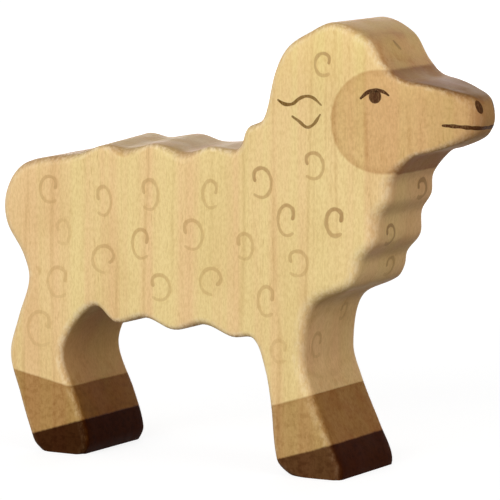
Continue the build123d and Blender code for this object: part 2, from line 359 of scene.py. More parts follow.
    def belly_and_rear_leg(self) -> list[Edged]:
        """Goes from the front heel along the rippled belly and down the rear leg to its sole.

        Returns:
            The points of this stretch.
        """
        heel, knee, elbow = self.front_heel, self.front_knee, self.elbow
        flank, stifle, toe = self.flank, self.stifle, self.rear_toe
        points = edged(self.leg_edge, heel, between(heel, knee, *self.front_hoof_swell), knee)
        points += edged(self.crisp_edge, between(knee, elbow, *self.elbow_hollow))
        points += edged(self.slim_edge, elbow)
        start = shifted((knee[0], self.belly_height), self.belly_start)
        end = shifted((flank[0], self.belly_height), self.belly_end)
        points += self.ripples(start, end, self.belly_waves, self.belly_edges)
        points += edged(self.leg_edge, flank, between(flank, stifle, *self.flank_hollow), stifle)
        toe_front = self.soles(toe, self.rear_toe_front)
        points += edged(self.leg_edge, between(stifle, toe_front[0][:2], *self.stifle_swell)) + toe_front
        return points + edged(self.leg_edge, toe) + self.soles(toe, self.rear_toe_sole)

    def loop(self, side: Side) -> list[EdgePoint]:
        """Samples the closed outline of one side as a smooth curve.

        Args:
            side: Side whose outline is sampled.

        Returns:
            Points in clockwise order, as many on one side as on the other.
        """
        knots = {}
        for each in Side:
            points = self.rear_and_back(each) + self.head()
            knots[each] = points + self.chest_and_front_leg() + self.belly_and_rear_leg()
        points = knots[side]
        count = len(points)
        spans, right_spans = spans_of(points), spans_of(knots[Side.RIGHT])
        steps = [max(self.least_steps, round(span / self.sample_step)) for span in right_spans]
        slopes = []
        for i in range(count):
            length = spans[i] + spans[i - 1]
            ahead, behind = points[(i + 1) % count], points[i - 1]
            slopes.append(tuple((p - q) / length for p, q in zip(ahead, behind)))
        raw = []
        for i in range(count):
            leave = tuple(v * spans[i] for v in slopes[i])
            reach = tuple(v * spans[i] for v in slopes[(i + 1) % count])
            for k in range(steps[i]):
                raw.append(hermite(points[i], points[(i + 1) % count], leave, reach, k / steps[i]))
        return self.directed(raw)

    def directed(self, raw: list[Edged]) -> list[EdgePoint]:
        """Adds the outward direction and a slightly uneven, hand-worked rounding to the samples.

        Args:
            raw: Samples of the closed outline.

        Returns:
            The samples as edge points.
        """
        samples = []
        for i, (x, z, rounding) in enumerate(raw):
            ahead, behind = raw[(i + 1) % len(raw)], raw[i - 1]
            run_x, run_z = ahead[0] - behind[0], ahead[1] - behind[1]
            length = math.hypot(run_x, run_z)
            seed = Vector((x * self.uneven_pitch, self.uneven_level, z * self.uneven_pitch))
            uneven = 1.0 + self.uneven_share * noise.noise(seed)
            samples.append(EdgePoint(x, z, -run_z / length, run_x / length, rounding * uneven))
        return samples


@dataclass(frozen=True)
class LegStains:
    """Stained zones of one leg, with the sock's height and slope at the leg's middle."""

    middle: float
    sock_height: float
    sock_slope: float
    sock: Zone
    hoof: Zone


@dataclass(frozen=True)
class StainMap:
    """Where the stained zones lie in the side view, in millimetres."""

    face_centre: Flat = (92.8, 75.7)
    face_radius: float = 10.8
    brow_mark: Flat = (97.2, 85.2)
    throat_mark: Flat = (95.6, 65.4)
    legs_split: float = 46.0
    hoof_height: float = 6.1
    hoof_slope: float = 0.31
    rear: LegStains = LegStains(15.35, 15.2, -0.2, Zone.REAR_SOCK, Zone.REAR_HOOF)
    front: LegStains = LegStains(78.1, 17.8, 0.31, Zone.FRONT_SOCK, Zone.FRONT_HOOF)

    def ray(self, mark: Flat) -> Flat:
        """Gives the unit direction from the face's centre to a mark.

        Args:
            mark: Point of the side view.

        Returns:
            The direction along X and Z.
        """
        run_x, run_z = mark[0] - self.face_centre[0], mark[1] - self.face_centre[1]
        length = math.hypot(run_x, run_z)
        return run_x / length, run_z / length

    def zone_at(self, x: float, z: float) -> Zone:
        """Tells which zone a point of the outline is in.

        Args:
            x: Distance ahead of the rump.
            z: Height over the floor.

        Returns:
            The zone of the finish.
        """
        leg = self.front if x > self.legs_split else self.rear
        ahead = x - leg.middle
        if z < self.hoof_height + self.hoof_slope * ahead:
            return leg.hoof
        if z < leg.sock_height + leg.sock_slope * ahead:
            return leg.sock
        off_x, off_z = x - self.face_centre[0], z - self.face_centre[1]
        brow_x, brow_z = self.ray(self.brow_mark)
        throat_x, throat_z = self.ray(self.throat_mark)
        if off_x * brow_z > off_z * brow_x and off_x * throat_z < off_z * throat_x:
            return Zone.FACE
        return Zone.FLEECE


@dataclass
class CarvedFigure:
    """The carved plank: rounded edges, flat sides and zones cut along the stain borders.

    Lengths are in millimetres, but the weld distance is in metres. The grid's row share and the rim
    clearance are shares of the grid step, and the cheek lead is the share of the face's border over
    which it comes from the edge to its arc.
    """

    outline: SheepOutline
    stains: StainMap
    edge_steps: int = 6
    middle_steps: int = 10
    grid_step: float = 2.2
    grid_row_share: float = 0.866
    rim_clearance: float = 0.7
    border_step: float = 1.6
    least_border_steps: int = 4
    cheek_lead: float = 0.25
    flat_tolerance: float = 1e-4
    weld_distance: float = 2e-6
    smooth_angle: float = math.radians(38.0)

    def __post_init__(self) -> None:
        """Samples both sides, rounds the edges and finds the zones."""
        self.loops = {side: self.outline.loop(side) for side in Side}
        self.count = len(self.loops[Side.RIGHT])
        self.rings = self.make_rings()
        self.flat_rings = {Side.RIGHT: self.rings[0], Side.LEFT: self.rings[-1]}
        right = self.loops[Side.RIGHT]
        self.zones = []
        for sample, ahead in zip(right, right[1:] + right[:1]):
            self.zones.append(self.stains.zone_at((sample.x + ahead.x) / 2, (sample.z + ahead.z) / 2))

    def edge_ring(self, side: Side, share: float) -> list[Vector]:
        """Makes one ring of points on the rounded edge of a side.

        Args:
            side: Side of the figure.
            share: Share of the rounding, 0 at the flat side and 1 at the outline.

        Returns:
            Points in millimetres, one for each sample of the outline.
        """
        turn = share * math.pi / 2
        ring = []
        for sample in self.loops[side]:
            inset = sample.rounding * (1 - math.sin(turn))
            depth = sample.rounding * (1 - math.cos(turn))
            x = sample.x - sample.out_x * inset
            z = max(0.0, sample.z - sample.out_z * inset)
            ring.append(Vector((x, side.value * (self.outline.half_width(x) - depth), z)))
        return ring

    def make_rings(self) -> list[list[Vector]]:
        """Makes the rings from the right side's flat over the thickness to the left side's flat.

        Returns:
            The rings in order, in millimetres.
        """
        shares = [k / self.edge_steps for k in range(self.edge_steps + 1)]
        right = [self.edge_ring(Side.RIGHT, share) for share in shares]
        left = [self.edge_ring(Side.LEFT, share) for share in reversed(shares)]
        middle = []
        for step in range(1, self.middle_steps):
            share = step / self.middle_steps
            middle.append([p.lerp(q, share) for p, q in zip(right[-1], left[0])])
        return right + middle + left

    def wear(self, row: int, sample: int) -> float:
        """Gives an edge's wear and painted highlight: most in the middle of a crisp rounding, none on the
        flats.

        Args:
            row: Number of the ring.
            sample: Number of the sample on it.

        Returns:
            The wear and painted highlight from 0 to 1.
        """
        from_side = min(row, len(self.rings) - 1 - row) / self.edge_steps
        if from_side >= 1:
            return 0.0
        side = Side.RIGHT if row < self.edge_steps else Side.LEFT
        crisp = min(1.0, self.outline.crisp_edge / self.loops[side][sample].rounding)
        return crisp * math.sin(math.pi * from_side)

    def runs(self, zone: Zone) -> list[list[int]]:
        """Lists the stretches of the outline in a zone.

        Args:
            zone: Zone of the finish.

        Returns:
            Each stretch as sample numbers from end to end.
        """
        starts = [i for i in range(self.count) if self.zones[i] is zone and self.zones[i - 1] is not zone]
        found = []
        for start in starts:
            run = [start]
            while self.zones[run[-1]] is zone:
                run.append((run[-1] + 1) % self.count)
            found.append(run)
        return found

    def gaps(self, zone: Zone) -> list[tuple[int, int]]:
        """Lists where a zone's borders leave the edge and come back, as pairs of sample numbers."""
        runs = self.runs(zone)
        return [(run[-1], after[0]) for run, after in zip(runs, runs[1:] + runs[:1])]

    def on_side(self, side: Side, x: float, z: float) -> Vector:
        """Puts a point of the side view on a flat side, in millimetres."""
        return Vector((x, side.value * self.outline.half_width(x), z))

    def cheek_arc(self, first: Vector, last: Vector, steps: int) -> list[Flat]:
        """Draws the round border of the face between two points of the edge.

        Args:
            first: Point on the brow.
            last: Point under the throat.
            steps: Steps from one to the other.

        Returns:
            The points between them in the side view.
        """
        centre_x, centre_z = self.stains.face_centre
        angles = [math.atan2(p.z - centre_z, p.x - centre_x) for p in (first, last)]
        angles[1] += 2 * math.pi
        reaches = [math.hypot(p.z - centre_z, p.x - centre_x) for p in (first, last)]
        points = []
        for k in range(1, steps):
            share = k / steps
            angle = angles[0] + share * (angles[1] - angles[0])
            nearest = reaches[0] if share < 0.5 else reaches[1]
            blend = min(1.0, min(share, 1 - share) / self.cheek_lead) ** 2
            reach = nearest + blend * (self.stains.face_radius - nearest)
            points.append((centre_x + reach * math.cos(angle), centre_z + reach * math.sin(angle)))
        return points

    def border(self, start: int, end: int, side: Side) -> list[Vector]:
        """Lays the inner points of a zone's border across a flat side.

        Args:
            start: Sample number where the border leaves the edge.
            end: Sample number where it comes back.
            side: Side of the figure.

        Returns:
            Points in millimetres between the two samples, without them.
        """
        ring = self.flat_rings[side]
        first, last = ring[min(start, end)], ring[max(start, end)]
        steps = max(self.least_border_steps, round((last - first).length / self.border_step))
        if first.z > self.stains.throat_mark[1] - self.grid_step:
            flat = self.cheek_arc(first, last, 2 * steps)
        else:
            line = [first.lerp(last, k / steps) for k in range(1, steps)]
            flat = [(p.x, p.z) for p in line]
        points = [self.on_side(side, x, z) for x, z in flat]
        return points if start < end else points[::-1]

    def flat_side(self, zone: Zone, side: Side) -> tuple[list[Vector], list[tuple[int, ...]]]:
        """Fills a zone's part of a flat side with small triangles.

        Args:
            zone: Zone of the finish.
            side: Side of the figure.

        Returns:
            Points in millimetres and the faces on them, facing outwards.
        """
        rim = []
        for run, gap in zip(self.runs(zone), self.gaps(zone)):
            rim += [self.flat_rings[side][k] for k in run] + self.border(*gap, side)
        flat = [Vector((p.x, p.z)) for p in rim]
        edges = [(i, (i + 1) % len(flat)) for i in range(len(flat))]
        inside_only = 1
        found = geometry.delaunay_2d_cdt(
            flat + self.grid_inside(flat), edges, [], inside_only, self.flat_tolerance
        )
        points = [self.on_side(side, p.x, p.y) for p in found[0]]
        faces = [tuple(face) if side is Side.RIGHT else tuple(reversed(face)) for face in found[2]]
        return points, faces

    def grid_inside(self, rim: list[Vector]) -> list[Vector]:
        """Spreads grid points inside a rim, clear of its edge.

        Args:
            rim: Corners of the rim in the side view.

        Returns:
            The grid points.
        """
        corners = np.array([tuple(p) for p in rim])
        ahead = np.roll(corners, -1, axis=0)
        step = self.grid_step
        rise = step * self.grid_row_share
        low, high = corners.min(axis=0), corners.max(axis=0)
        points = []
        for row in range(int((high[1] - low[1]) / rise) + 1):
            z = low[1] + row * step * self.grid_row_share
            crosses = (corners[:, 1] > z) != (ahead[:, 1] > z)
            climb = np.where(crosses, ahead[:, 1] - corners[:, 1], 1.0)
            meet = corners[:, 0] + (z - corners[:, 1]) * (ahead[:, 0] - corners[:, 0]) / climb
            for column in range(int((high[0] - low[0]) / step) + 1):
                x = low[0] + (column + 0.5 * (row % 2)) * step
                inside = np.count_nonzero(crosses & (x < meet)) % 2 == 1
                nearest = np.hypot(corners[:, 0] - x, corners[:, 1] - z).min()
                if inside and nearest > self.rim_clearance * step:
                    points.append(Vector((x, z)))
        return points

    def zone_mesh(self, zone: Zone) -> Mesh:
        """Builds the closed mesh of one zone.

        Args:
            zone: Zone of the finish.

        Returns:
            The mesh in frame metres.
        """
        mesh = bmesh.new()
        layer = mesh.verts.layers.float.new("edge_wear_and_highlight")

        def face(points: list[Vector], wear: tuple[float, ...] = ()) -> None:
            """Adds one face.

            Args:
                points: Its corners in millimetres.
                wear: The wear and painted highlight at each corner, if it has any.
            """
            corners = [mesh.verts.new(to_frame(*p)) for p in points]
            for corner, worn in zip(corners, wear):
                corner[layer] = worn
            mesh.faces.new(corners)

        for side in Side:
            points, faces = self.flat_side(zone, side)
            for corners in faces:
                face([points[k] for k in corners])
        for i in range(self.count):
            if self.zones[i] is zone:
                j = (i + 1) % self.count
                for row in range(len(self.rings) - 1):
                    places = ((row, i), (row, j), (row + 1, j), (row + 1, i))
                    face([self.rings[r][k] for r, k in places], tuple(self.wear(r, k) for r, k in places))
        for start, end in self.gaps(zone):
            walls = []
            for side, ring in self.flat_rings.items():
                walls.append([ring[start]] + self.border(start, end, side) + [ring[end]])
            for i in range(len(walls[0]) - 1):
                face([walls[0][i], walls[0][i + 1], walls[1][i + 1], walls[1][i]])
            for sample in (start, end):
                face([ring[sample] for ring in self.rings])
        bmesh.ops.remove_doubles(mesh, verts=mesh.verts, dist=self.weld_distance)
        bmesh.ops.dissolve_degenerate(mesh, edges=mesh.edges, dist=self.weld_distance)
        bmesh.ops.recalc_face_normals(mesh, faces=mesh.faces)
        return mesh

    def wood_surface(self) -> BVHTree:
        """Gives the whole outer surface, for laying marks on it.

        Returns:
            The surface in frame metres.
        """
        points, faces = [], []
        for ring in self.rings:
            points += [to_frame(*p) for p in ring]
        for row in range(len(self.rings) - 1):
            for i in range(self.count):
                j = (i + 1) % self.count
                base = row * self.count
                faces.append((base + i, base + j, base + self.count + j, base + self.count + i))
        for zone in Zone:
            for side in Side:
                flat, triangles = self.flat_side(zone, side)
                start = len(points)
                points += [to_frame(*p) for p in flat]
                faces += [tuple(start + k for k in corners) for corners in triangles]
        return BVHTree.FromPolygons(points, faces)

    def build(self, finishes: dict[Slot, Material], slots: dict[Zone, Slot]) -> None:
        """Builds and dresses the piece of every zone.

        Args:
            finishes: Material of each slot.
            slots: Slot of each zone.
        """
        for zone, slot in slots.items():
            name = f"{zone.value}_wood"
            place(name, self.zone_mesh(zone), finishes[slot], zone.value, self.smooth_angle)


def place(name: str, mesh: Mesh, finish: Material, node: str, smooth_angle: float) -> None:
    """Puts a finished mesh in the scene as a piece that stands for a node.

    Args:
        name: Name of the piece.
        mesh: Its mesh in frame metres.
        finish: Its material.
        node: The node that it stands for.
        smooth_angle: Angle up to which faces are shaded as one.
    """
    data = bpy.data.meshes.new(name)
    mesh.to_mesh(data)
    mesh.free()
    for polygon in data.polygons:
        polygon.use_smooth = True
    data.set_sharp_from_angle(angle=smooth_angle)
    data.materials.append(finish)
    piece = bpy.data.objects.new(name, data)
    bpy.context.scene.collection.objects.link(piece)
    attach(piece, "root")
    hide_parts(node)
    LOG.info("%s: %d faces", name, len(data.polygons))


@dataclass(frozen=True)
class Speckle:
    """Stretched noise: its size in millimetres, the stretch of its values that shows, and how strongly."""

    size: Triple
    shows: Flat = (0.0, 1.0)
    strength: Flat = (0.0, 1.0)
    detail: float = 2.0
    rough: float = 0.5


class Graph:
    """Short calls for wiring a node tree."""

    def __init__(self, tree: bpy.types.NodeTree) -> None:
        """Keeps the tree that the nodes go into."""
        self.tree = tree

    def node(self, kind: str, **settings: object) -> bpy.types.Node:
        """Adds a node.

        Args:
            kind: Type of the node.
            **settings: Values of its properties.

        Returns:
            The node.
        """
        made = self.tree.nodes.new(kind)
        for key, value in settings.items():
            setattr(made, key, value)
        return made

    def feed(self, socket: Socket, value: object) -> None:
        """Links a socket to another one, or sets its plain value.

        Args:
            socket: Input that is fed.
            value: Output to link, or a number, colour or vector.
        """
        if isinstance(value, bpy.types.NodeSocket):
            self.tree.links.new(value, socket)
        else:
            socket.default_value = value

    def math(
        self, operation: str, first: object, second: object = 0.0, third: object = 0.0, clamp: bool = False
    ) -> Socket:
        """Adds a math node.

        Args:
            operation: Name of the operation.
            first: First socket or number.
            second: Second socket or number.
            third: Third socket or number.
            clamp: Whether the result stays between 0 and 1.

        Returns:
            The result's socket.
        """
        made = self.node("ShaderNodeMath", operation=operation, use_clamp=clamp)
        for socket, value in zip(made.inputs, (first, second, third)):
            self.feed(socket, value)
        return made.outputs[0]

    def times(self, first: object, second: object, clamp: bool = False) -> Socket:
        """Multiplies two values."""
        return self.math("MULTIPLY", first, second, clamp=clamp)

    def mix(self, share: object, low: object, high: object, blend: str = "MIX") -> Socket:
        """Mixes two colours.

        Args:
            share: Share of the second colour.
            low: First colour or socket.
            high: Second colour or socket.
            blend: Way of blending.

        Returns:
            The mixed colour's socket.
        """
        made = self.node("ShaderNodeMix", data_type="RGBA", blend_type=blend)
        share_input, low_input, high_input, colour_output = 0, 6, 7, 2
        self.feed(made.inputs[share_input], share)
        self.feed(made.inputs[low_input], low)
        self.feed(made.inputs[high_input], high)
        return made.outputs[colour_output]

    def tint(self, share: object, base: object, colour: object) -> Socket:
        """Multiplies a share of a colour into a base."""
        return self.mix(share, base, colour, "MULTIPLY")

    def ramp(self, value: object, low: float, high: float, start: float = 0.0, end: float = 1.0) -> Socket:
        """Maps a stretch of values smoothly onto another.

        Args:
            value: Socket to map.
            low: Value that becomes start.
            high: Value that becomes end.
            start: Result at and below low.
            end: Result at and above high.

        Returns:
            The mapped value's socket.
        """
        made = self.node("ShaderNodeMapRange", interpolation_type="SMOOTHSTEP")
        for number, item in enumerate((value, low, high, start, end)):
            self.feed(made.inputs[number], item)
        return made.outputs[0]

    def split(self, vector: Socket) -> list[Socket]:
        """Splits a vector.

        Args:
            vector: Its socket.

        Returns:
            The sockets of X, Y and Z.
        """
        made = self.node("ShaderNodeSeparateXYZ")
        self.feed(made.inputs[0], vector)
        return list(made.outputs)

    def facing(self) -> list[Socket]:
        """Gives the surface's outward direction along X, Y and Z."""
        return self.split(self.node("ShaderNodeNewGeometry").outputs["Normal"])

    def noise(self, vector: Socket, speckle: Speckle) -> Socket:
        """Adds stretched noise.

        Args:
            vector: Place in millimetres.
            speckle: Kind of noise.

        Returns:
            The noise value's socket.
        """
        scaled = self.node("ShaderNodeVectorMath", operation="DIVIDE")
        self.feed(scaled.inputs[0], vector)
        scaled.inputs[1].default_value = speckle.size
        made = self.node("ShaderNodeTexNoise")
        self.feed(made.inputs["Vector"], scaled.outputs[0])
        made.inputs["Scale"].default_value = 1.0
        made.inputs["Detail"].default_value = speckle.detail
        made.inputs["Roughness"].default_value = speckle.rough
        return made.outputs["Fac"]

    def shown(self, value: Socket, speckle: Speckle) -> Socket:
        """Maps noise to the strength with which it shows."""
        return self.ramp(value, *speckle.shows, *speckle.strength)

    def speckled(self, vector: Socket, speckle: Speckle) -> Socket:
        """Adds stretched noise at the strength with which it shows."""
        return self.shown(self.noise(vector, speckle), speckle)


@dataclass(frozen=True)
class LegColours:
    """Stain colours of one leg, with the painted shade on its hoof's faces turned forward or back."""

    sock: Colour
    hoof: Colour
    # Painted shade on hoof faces turned forward or back.
    painted_hoof_shade: Colour


@dataclass(frozen=True)
class MapleGrain:
    """Pale maple with upright grain, flecks and brushed-on stains, with painted shade and highlight, as one
    shared node group.

    A facing holds the slants between which a surface counts as turned that way, from 0 to 1.
    """

    stains: StainMap
    pale: Colour = (0.875, 0.685, 0.318, 1.0)
    tan: Colour = (0.87, 0.605, 0.305, 1.0)
    fleck: Colour = (0.80, 0.72, 0.62, 1.0)
    end_grain: Colour = (0.63, 0.53, 0.45, 1.0)
    # Painted shade on faces turned forward or back.
    fore_aft_shade: Colour = (0.96, 0.84, 0.80, 1.0)
    # Darker, warmer patches on faces that tilt upwards.
    slope_darkening: Colour = (0.82, 0.66, 0.50, 1.0)
    # Painted shade between the legs, on faces turned forward or back.
    painted_shade_between_legs: Colour = (0.84, 0.79, 0.66, 1.0)
    # Lighter colour for the worn edges with their painted highlight, and for the top of the head.
    bright_edge: Colour = (1.0, 0.84, 0.56, 1.0)
    face_stain: Colour = (0.88, 0.79, 0.73, 1.0)
    # Painted shade on the nose's front and the bridge's top.
    painted_face_shade: Colour = (0.69, 0.61, 0.54, 1.0)
    painted_bridge_shade: Colour = (0.76, 0.75, 0.73, 1.0)
    rim_stain: Colour = (0.80, 0.74, 0.68, 1.0)
    # Painted shade on sock faces turned forward or back.
    painted_sock_shade: Colour = (0.75, 0.65, 0.48, 1.0)
    rear_leg: LegColours = LegColours(
        (0.56, 0.45, 0.33, 1.0), (0.11, 0.062, 0.05, 1.0), (1.3, 1.05, 0.6, 1.0)
    )
    front_leg: LegColours = LegColours(
        (0.61, 0.51, 0.41, 1.0), (0.23, 0.16, 0.15, 1.0), (0.55, 0.35, 0.22, 1.0)
    )
    bands: Speckle = Speckle((5.5, 12.0, 160.0), (0.36, 0.66))
    streaks: Speckle = Speckle((0.7, 0.9, 26.0), (0.45, 0.75), (0.0, 0.3), 3.0, 0.6)
    flecks: Speckle = Speckle((0.32, 0.4, 3.2), (0.62, 0.72), (0.0, 0.6), 1.0)
    fleck_patches: Speckle = Speckle((7.0, 7.0, 16.0), (0.42, 0.62))
    pores: Speckle = Speckle((0.38, 0.38, 1.0), (0.35, 0.7), (0.0, 0.5), 2.0, 0.6)
    clouds: Speckle = Speckle((16.0, 12.0, 24.0), (0.4, 0.7), (0.0, 0.35))
    slope_patches: Speckle = Speckle((7.0, 5.0, 5.0), (0.5, 0.66), detail=3.0, rough=0.6)
    ring_sway: Speckle = Speckle((14.0, 30.0, 90.0))
    ring_patches: Speckle = Speckle((5.0, 5.0, 22.0), (0.3, 0.6))
    fibres: Speckle = Speckle((0.25, 0.25, 2.5), detail=3.0, rough=0.6)
    polish: Speckle = Speckle((5.0, 5.0, 9.0), (0.3, 0.7), (0.50, 0.62), 3.0)
    bleed: Speckle = Speckle((0.7, 0.7, 1.6), (0.4, 0.65), (0.08, 0.42), 3.0, 0.6)
    sway: Speckle = Speckle((4.0, 4.0, 4.0), detail=1.0)
    blotches: Speckle = Speckle((1.3, 1.3, 1.1), (0.42, 0.68), (0.0, 0.75), 3.0, 0.65)
    face_blotches: float = 0.45
    streak_roughness: float = 0.06
    hoof_polish: float = 0.08
    fibre_height: float = 0.55
    streak_height: float = 0.45
    ring_spacing: float = 7.6
    ring_drift: float = 9.0
    ring_width: float = 0.09
    ring_strength: float = 0.45
    end_facing: Flat = (0.25, 0.9)
    fore_aft_shade_facing: Flat = (0.35, 0.95)
    slope_facing: Flat = (0.1, 0.5)
    top_facing: Flat = (0.75, 0.95)
    leg_shade_facing: Flat = (0.6, 0.95)
    bridge_facing: Flat = (0.3, 0.9)
    nose_facing: Flat = (0.2, 0.85)
    slope_strength: float = 0.6
    legs_middle: float = 41.0
    legs_reach: Flat = (26.0, 31.0)
    legs_heights: Flat = (32.0, 38.0)
    # Lighter towards the top of the head, between these heights.
    lightening_heights: Flat = (76.0, 92.0)
    lightening_strength: float = 0.3
    stain_rub: float = 0.6
    hoof_rub: float = 0.2
    # Worn edges of the bare wood are lighter: wear and a painted highlight.
    bare_rub_and_highlight: float = 1.6
    border_softness: float = 0.3
    border_wobble: float = 0.16
    rim_strength: float = 0.55
    rim_width: float = 0.5
    face_rim_width: float = 1.9
    # Painted shade on the bridge grows over this depth into the face, from this start.
    bridge_shade_depth: float = 4.5
    bridge_shade_start: float = 0.4

    def group(self) -> bpy.types.NodeTree:
        """Builds the node group.

        Returns:
            A group with outputs Colour, Roughness and Height.
        """
        tree = bpy.data.node_groups.new("maple_grain", "ShaderNodeTree")
        for name, kind in (("Colour", "Color"), ("Roughness", "Float"), ("Height", "Float")):
            tree.interface.new_socket(name, in_out="OUTPUT", socket_type=f"NodeSocket{kind}")
        graph = Graph(tree)
        place_mm = self.millimetres(graph)
        wood, grain = self.bare_wood(graph, place_mm)
        stained, hooves = self.stained(graph, place_mm, wood)
        worn = graph.speckled(place_mm, self.polish)
        rough = graph.math("ADD", worn, graph.times(grain, self.streak_roughness))
        rough = graph.math("SUBTRACT", rough, graph.times(hooves, self.hoof_polish))
        fibres = graph.times(graph.noise(place_mm, self.fibres), self.fibre_height)
        height = graph.math("ADD", fibres, graph.times(grain, self.streak_height))
        result = graph.node("NodeGroupOutput")
        for name, value in (("Colour", stained), ("Roughness", rough), ("Height", height)):
            graph.feed(result.inputs[name], value)
        return tree

    def millimetres(self, graph: Graph) -> Socket:
        """Gives the place on the figure in millimetres ahead of the rump.

        Args:
            graph: Graph of the group.

        Returns:
            The place's socket.
        """
        scaled = graph.node("ShaderNodeVectorMath", operation="MULTIPLY_ADD")
        graph.feed(scaled.inputs[0], graph.node("ShaderNodeTexCoord").outputs["Object"])
        scaled.inputs[1].default_value = (1 / MM, 1 / MM, 1 / MM)
        scaled.inputs[2].default_value = (RUMP_TO_MIDDLE, 0.0, 0.0)
        return scaled.outputs[0]

    def bare_wood(self, graph: Graph, place_mm: Socket) -> tuple[Socket, Socket]:
        """Colours the wood before staining, with painted shade on faces turned forward or back and between
        the legs.

        Args:
            graph: Graph of the group.
            place_mm: Place in millimetres.

        Returns:
            The colour and the fine grain's strength.
        """
        streaks = graph.noise(place_mm, self.streaks)
        flecks, patches = (graph.speckled(place_mm, each) for each in (self.flecks, self.fleck_patches))
        darker = [graph.shown(streaks, self.streaks), graph.times(flecks, patches)]
        darker += [graph.speckled(place_mm, each) for each in (self.pores, self.clouds)]
        colour = graph.mix(graph.speckled(place_mm, self.bands), self.pale, self.tan)
        for share in darker + [self.ring_lines(graph, place_mm)]:
            colour = graph.tint(share, colour, self.fleck)
        facing_x, _, facing_z = graph.facing()
        level = graph.ramp(graph.math("ABSOLUTE", facing_z), *self.end_facing)
        colour = graph.tint(level, colour, self.end_grain)
        # Painted shade: faces turned forward or back are darker and warmer.
        fore_aft_facing = graph.ramp(graph.math("ABSOLUTE", facing_x), *self.fore_aft_shade_facing)
        colour = graph.tint(fore_aft_facing, colour, self.fore_aft_shade)
        # Darker, warmer patches on faces that tilt upwards.
        tilted = graph.ramp(facing_z, *self.top_facing, self.slope_strength, 0.0)
        upwards = graph.times(graph.ramp(facing_z, *self.slope_facing), tilted)
        slope_darkened = graph.times(graph.speckled(place_mm, self.slope_patches), upwards)
        colour = graph.tint(slope_darkened, colour, self.slope_darkening)
        # Painted shade: low faces between the legs that turn forward or back are darker.
        x, _, z = graph.split(place_mm)
        off_middle = graph.math("ABSOLUTE", graph.math("SUBTRACT", x, self.legs_middle))
        hollow = graph.times(graph.ramp(off_middle, *self.legs_reach, 1.0, 0.0), fore_aft_facing)
        hollow = graph.times(hollow, graph.ramp(z, *self.legs_heights, 1.0, 0.0))
        colour = graph.tint(hollow, colour, self.painted_shade_between_legs)
        # Lighter towards the top of the head.
        lighter_high_up = graph.ramp(z, *self.lightening_heights, 0.0, self.lightening_strength)
        return graph.mix(lighter_high_up, colour, self.bright_edge, "SOFT_LIGHT"), streaks

    def ring_lines(self, graph: Graph, place_mm: Socket) -> Socket:
        """Gives the thin upright lines where the growth rings meet.

        Args:
            graph: Graph of the group.
            place_mm: Place in millimetres.

        Returns:
            The share of darker wood.
        """
        drift = graph.times(graph.noise(place_mm, self.ring_sway), self.ring_drift)
        rings = graph.math("DIVIDE", graph.math("ADD", graph.split(place_mm)[0], drift), self.ring_spacing)
        off_middle = graph.math("ABSOLUTE", graph.math("SUBTRACT", graph.math("FRACT", rings), 0.5))
        line = graph.ramp(off_middle, 0.0, self.ring_width, self.ring_strength, 0.0)
        return graph.times(line, graph.speckled(place_mm, self.ring_patches))

    def stained(self, graph: Graph, place_mm: Socket, wood: Socket) -> tuple[Socket, Socket]:
        """Brushes the face, sock and hoof stains over the wood, with painted shade and a painted edge
        highlight.

        Args:
            graph: Graph of the group.
            place_mm: Place in millimetres.
            wood: Colour of the bare wood.

        Returns:
            The stained colour and the hoof stain's strength.
        """
        stains = self.stains
        x, _, z = graph.split(place_mm)
        facing_x, _, facing_z = graph.facing()
        bleed = graph.noise(place_mm, self.bleed)
        blotches = graph.speckled(place_mm, self.blotches)
        jitter = graph.math("SUBTRACT", graph.math("ADD", bleed, graph.noise(place_mm, self.sway)), 1.0)
        wobble = graph.times(jitter, 2 * self.border_wobble)
        worn = graph.node("ShaderNodeAttribute", attribute_name="edge_wear_and_highlight").outputs["Fac"]
        rub_and_highlight = graph.times(worn, graph.shown(bleed, self.bleed))
        cover = graph.math("SUBTRACT", 1.0, graph.times(rub_and_highlight, self.stain_rub))
        thick = graph.math("SUBTRACT", 1.0, graph.times(rub_and_highlight, self.hoof_rub))
        # Painted shade mask: faces turned forward or back.
        fore_aft_facing = graph.ramp(graph.math("ABSOLUTE", facing_x), *self.leg_shade_facing)
        on_front = graph.math("GREATER_THAN", x, stains.legs_split)
        on_rear = graph.math("SUBTRACT", 1.0, on_front)

        def inside(
            depth: Socket, colour: Colour, base: Socket, limit: object, rim_width: float = self.rim_width,
            covering: Socket = cover, spots: Socket = blotches,
        ) -> tuple[Socket, Socket]:
            """Lays one stain, darker along its rim.

            Args:
                depth: Distance inside the stain's border.
                colour: Colour of the stain.
                base: Colour under it.
                limit: Where the stain may lie, as 0 or 1.
                rim_width: Width of the darker rim.
                covering: Share of the stain that wear leaves.
                spots: Strength of its blotches.

            Returns:
                The colour and the stain's strength.
            """
            uneven = graph.math("ADD", depth, wobble)
            mask = graph.times(graph.ramp(uneven, -self.border_softness, self.border_softness), limit)
            laid = graph.tint(graph.times(mask, covering), base, colour)
            edge = graph.ramp(uneven, 0.0, rim_width, self.rim_strength, 0.0)
            darker = graph.times(graph.math("ADD", edge, spots), mask, clamp=True)
            return graph.tint(darker, laid, self.rim_stain), mask

        def under(height: float, slope: float, middle: float) -> Socket:
            """Measures how far a point is under a line that slopes through a height at a leg's middle."""
            line = graph.math("MULTIPLY_ADD", graph.math("SUBTRACT", x, middle), slope, height)
            return graph.math("SUBTRACT", line, z)

        # Worn edges of the bare wood are lighter: partly wear, partly a painted highlight.
        colour = graph.mix(graph.times(rub_and_highlight, self.bare_rub_and_highlight, clamp=True), wood, self.bright_edge)
        face_depth = self.face_depth(graph, x, z)
        faint = graph.times(blotches, self.face_blotches)
        colour, face = inside(face_depth, self.face_stain, colour, 1.0, self.face_rim_width, spots=faint)
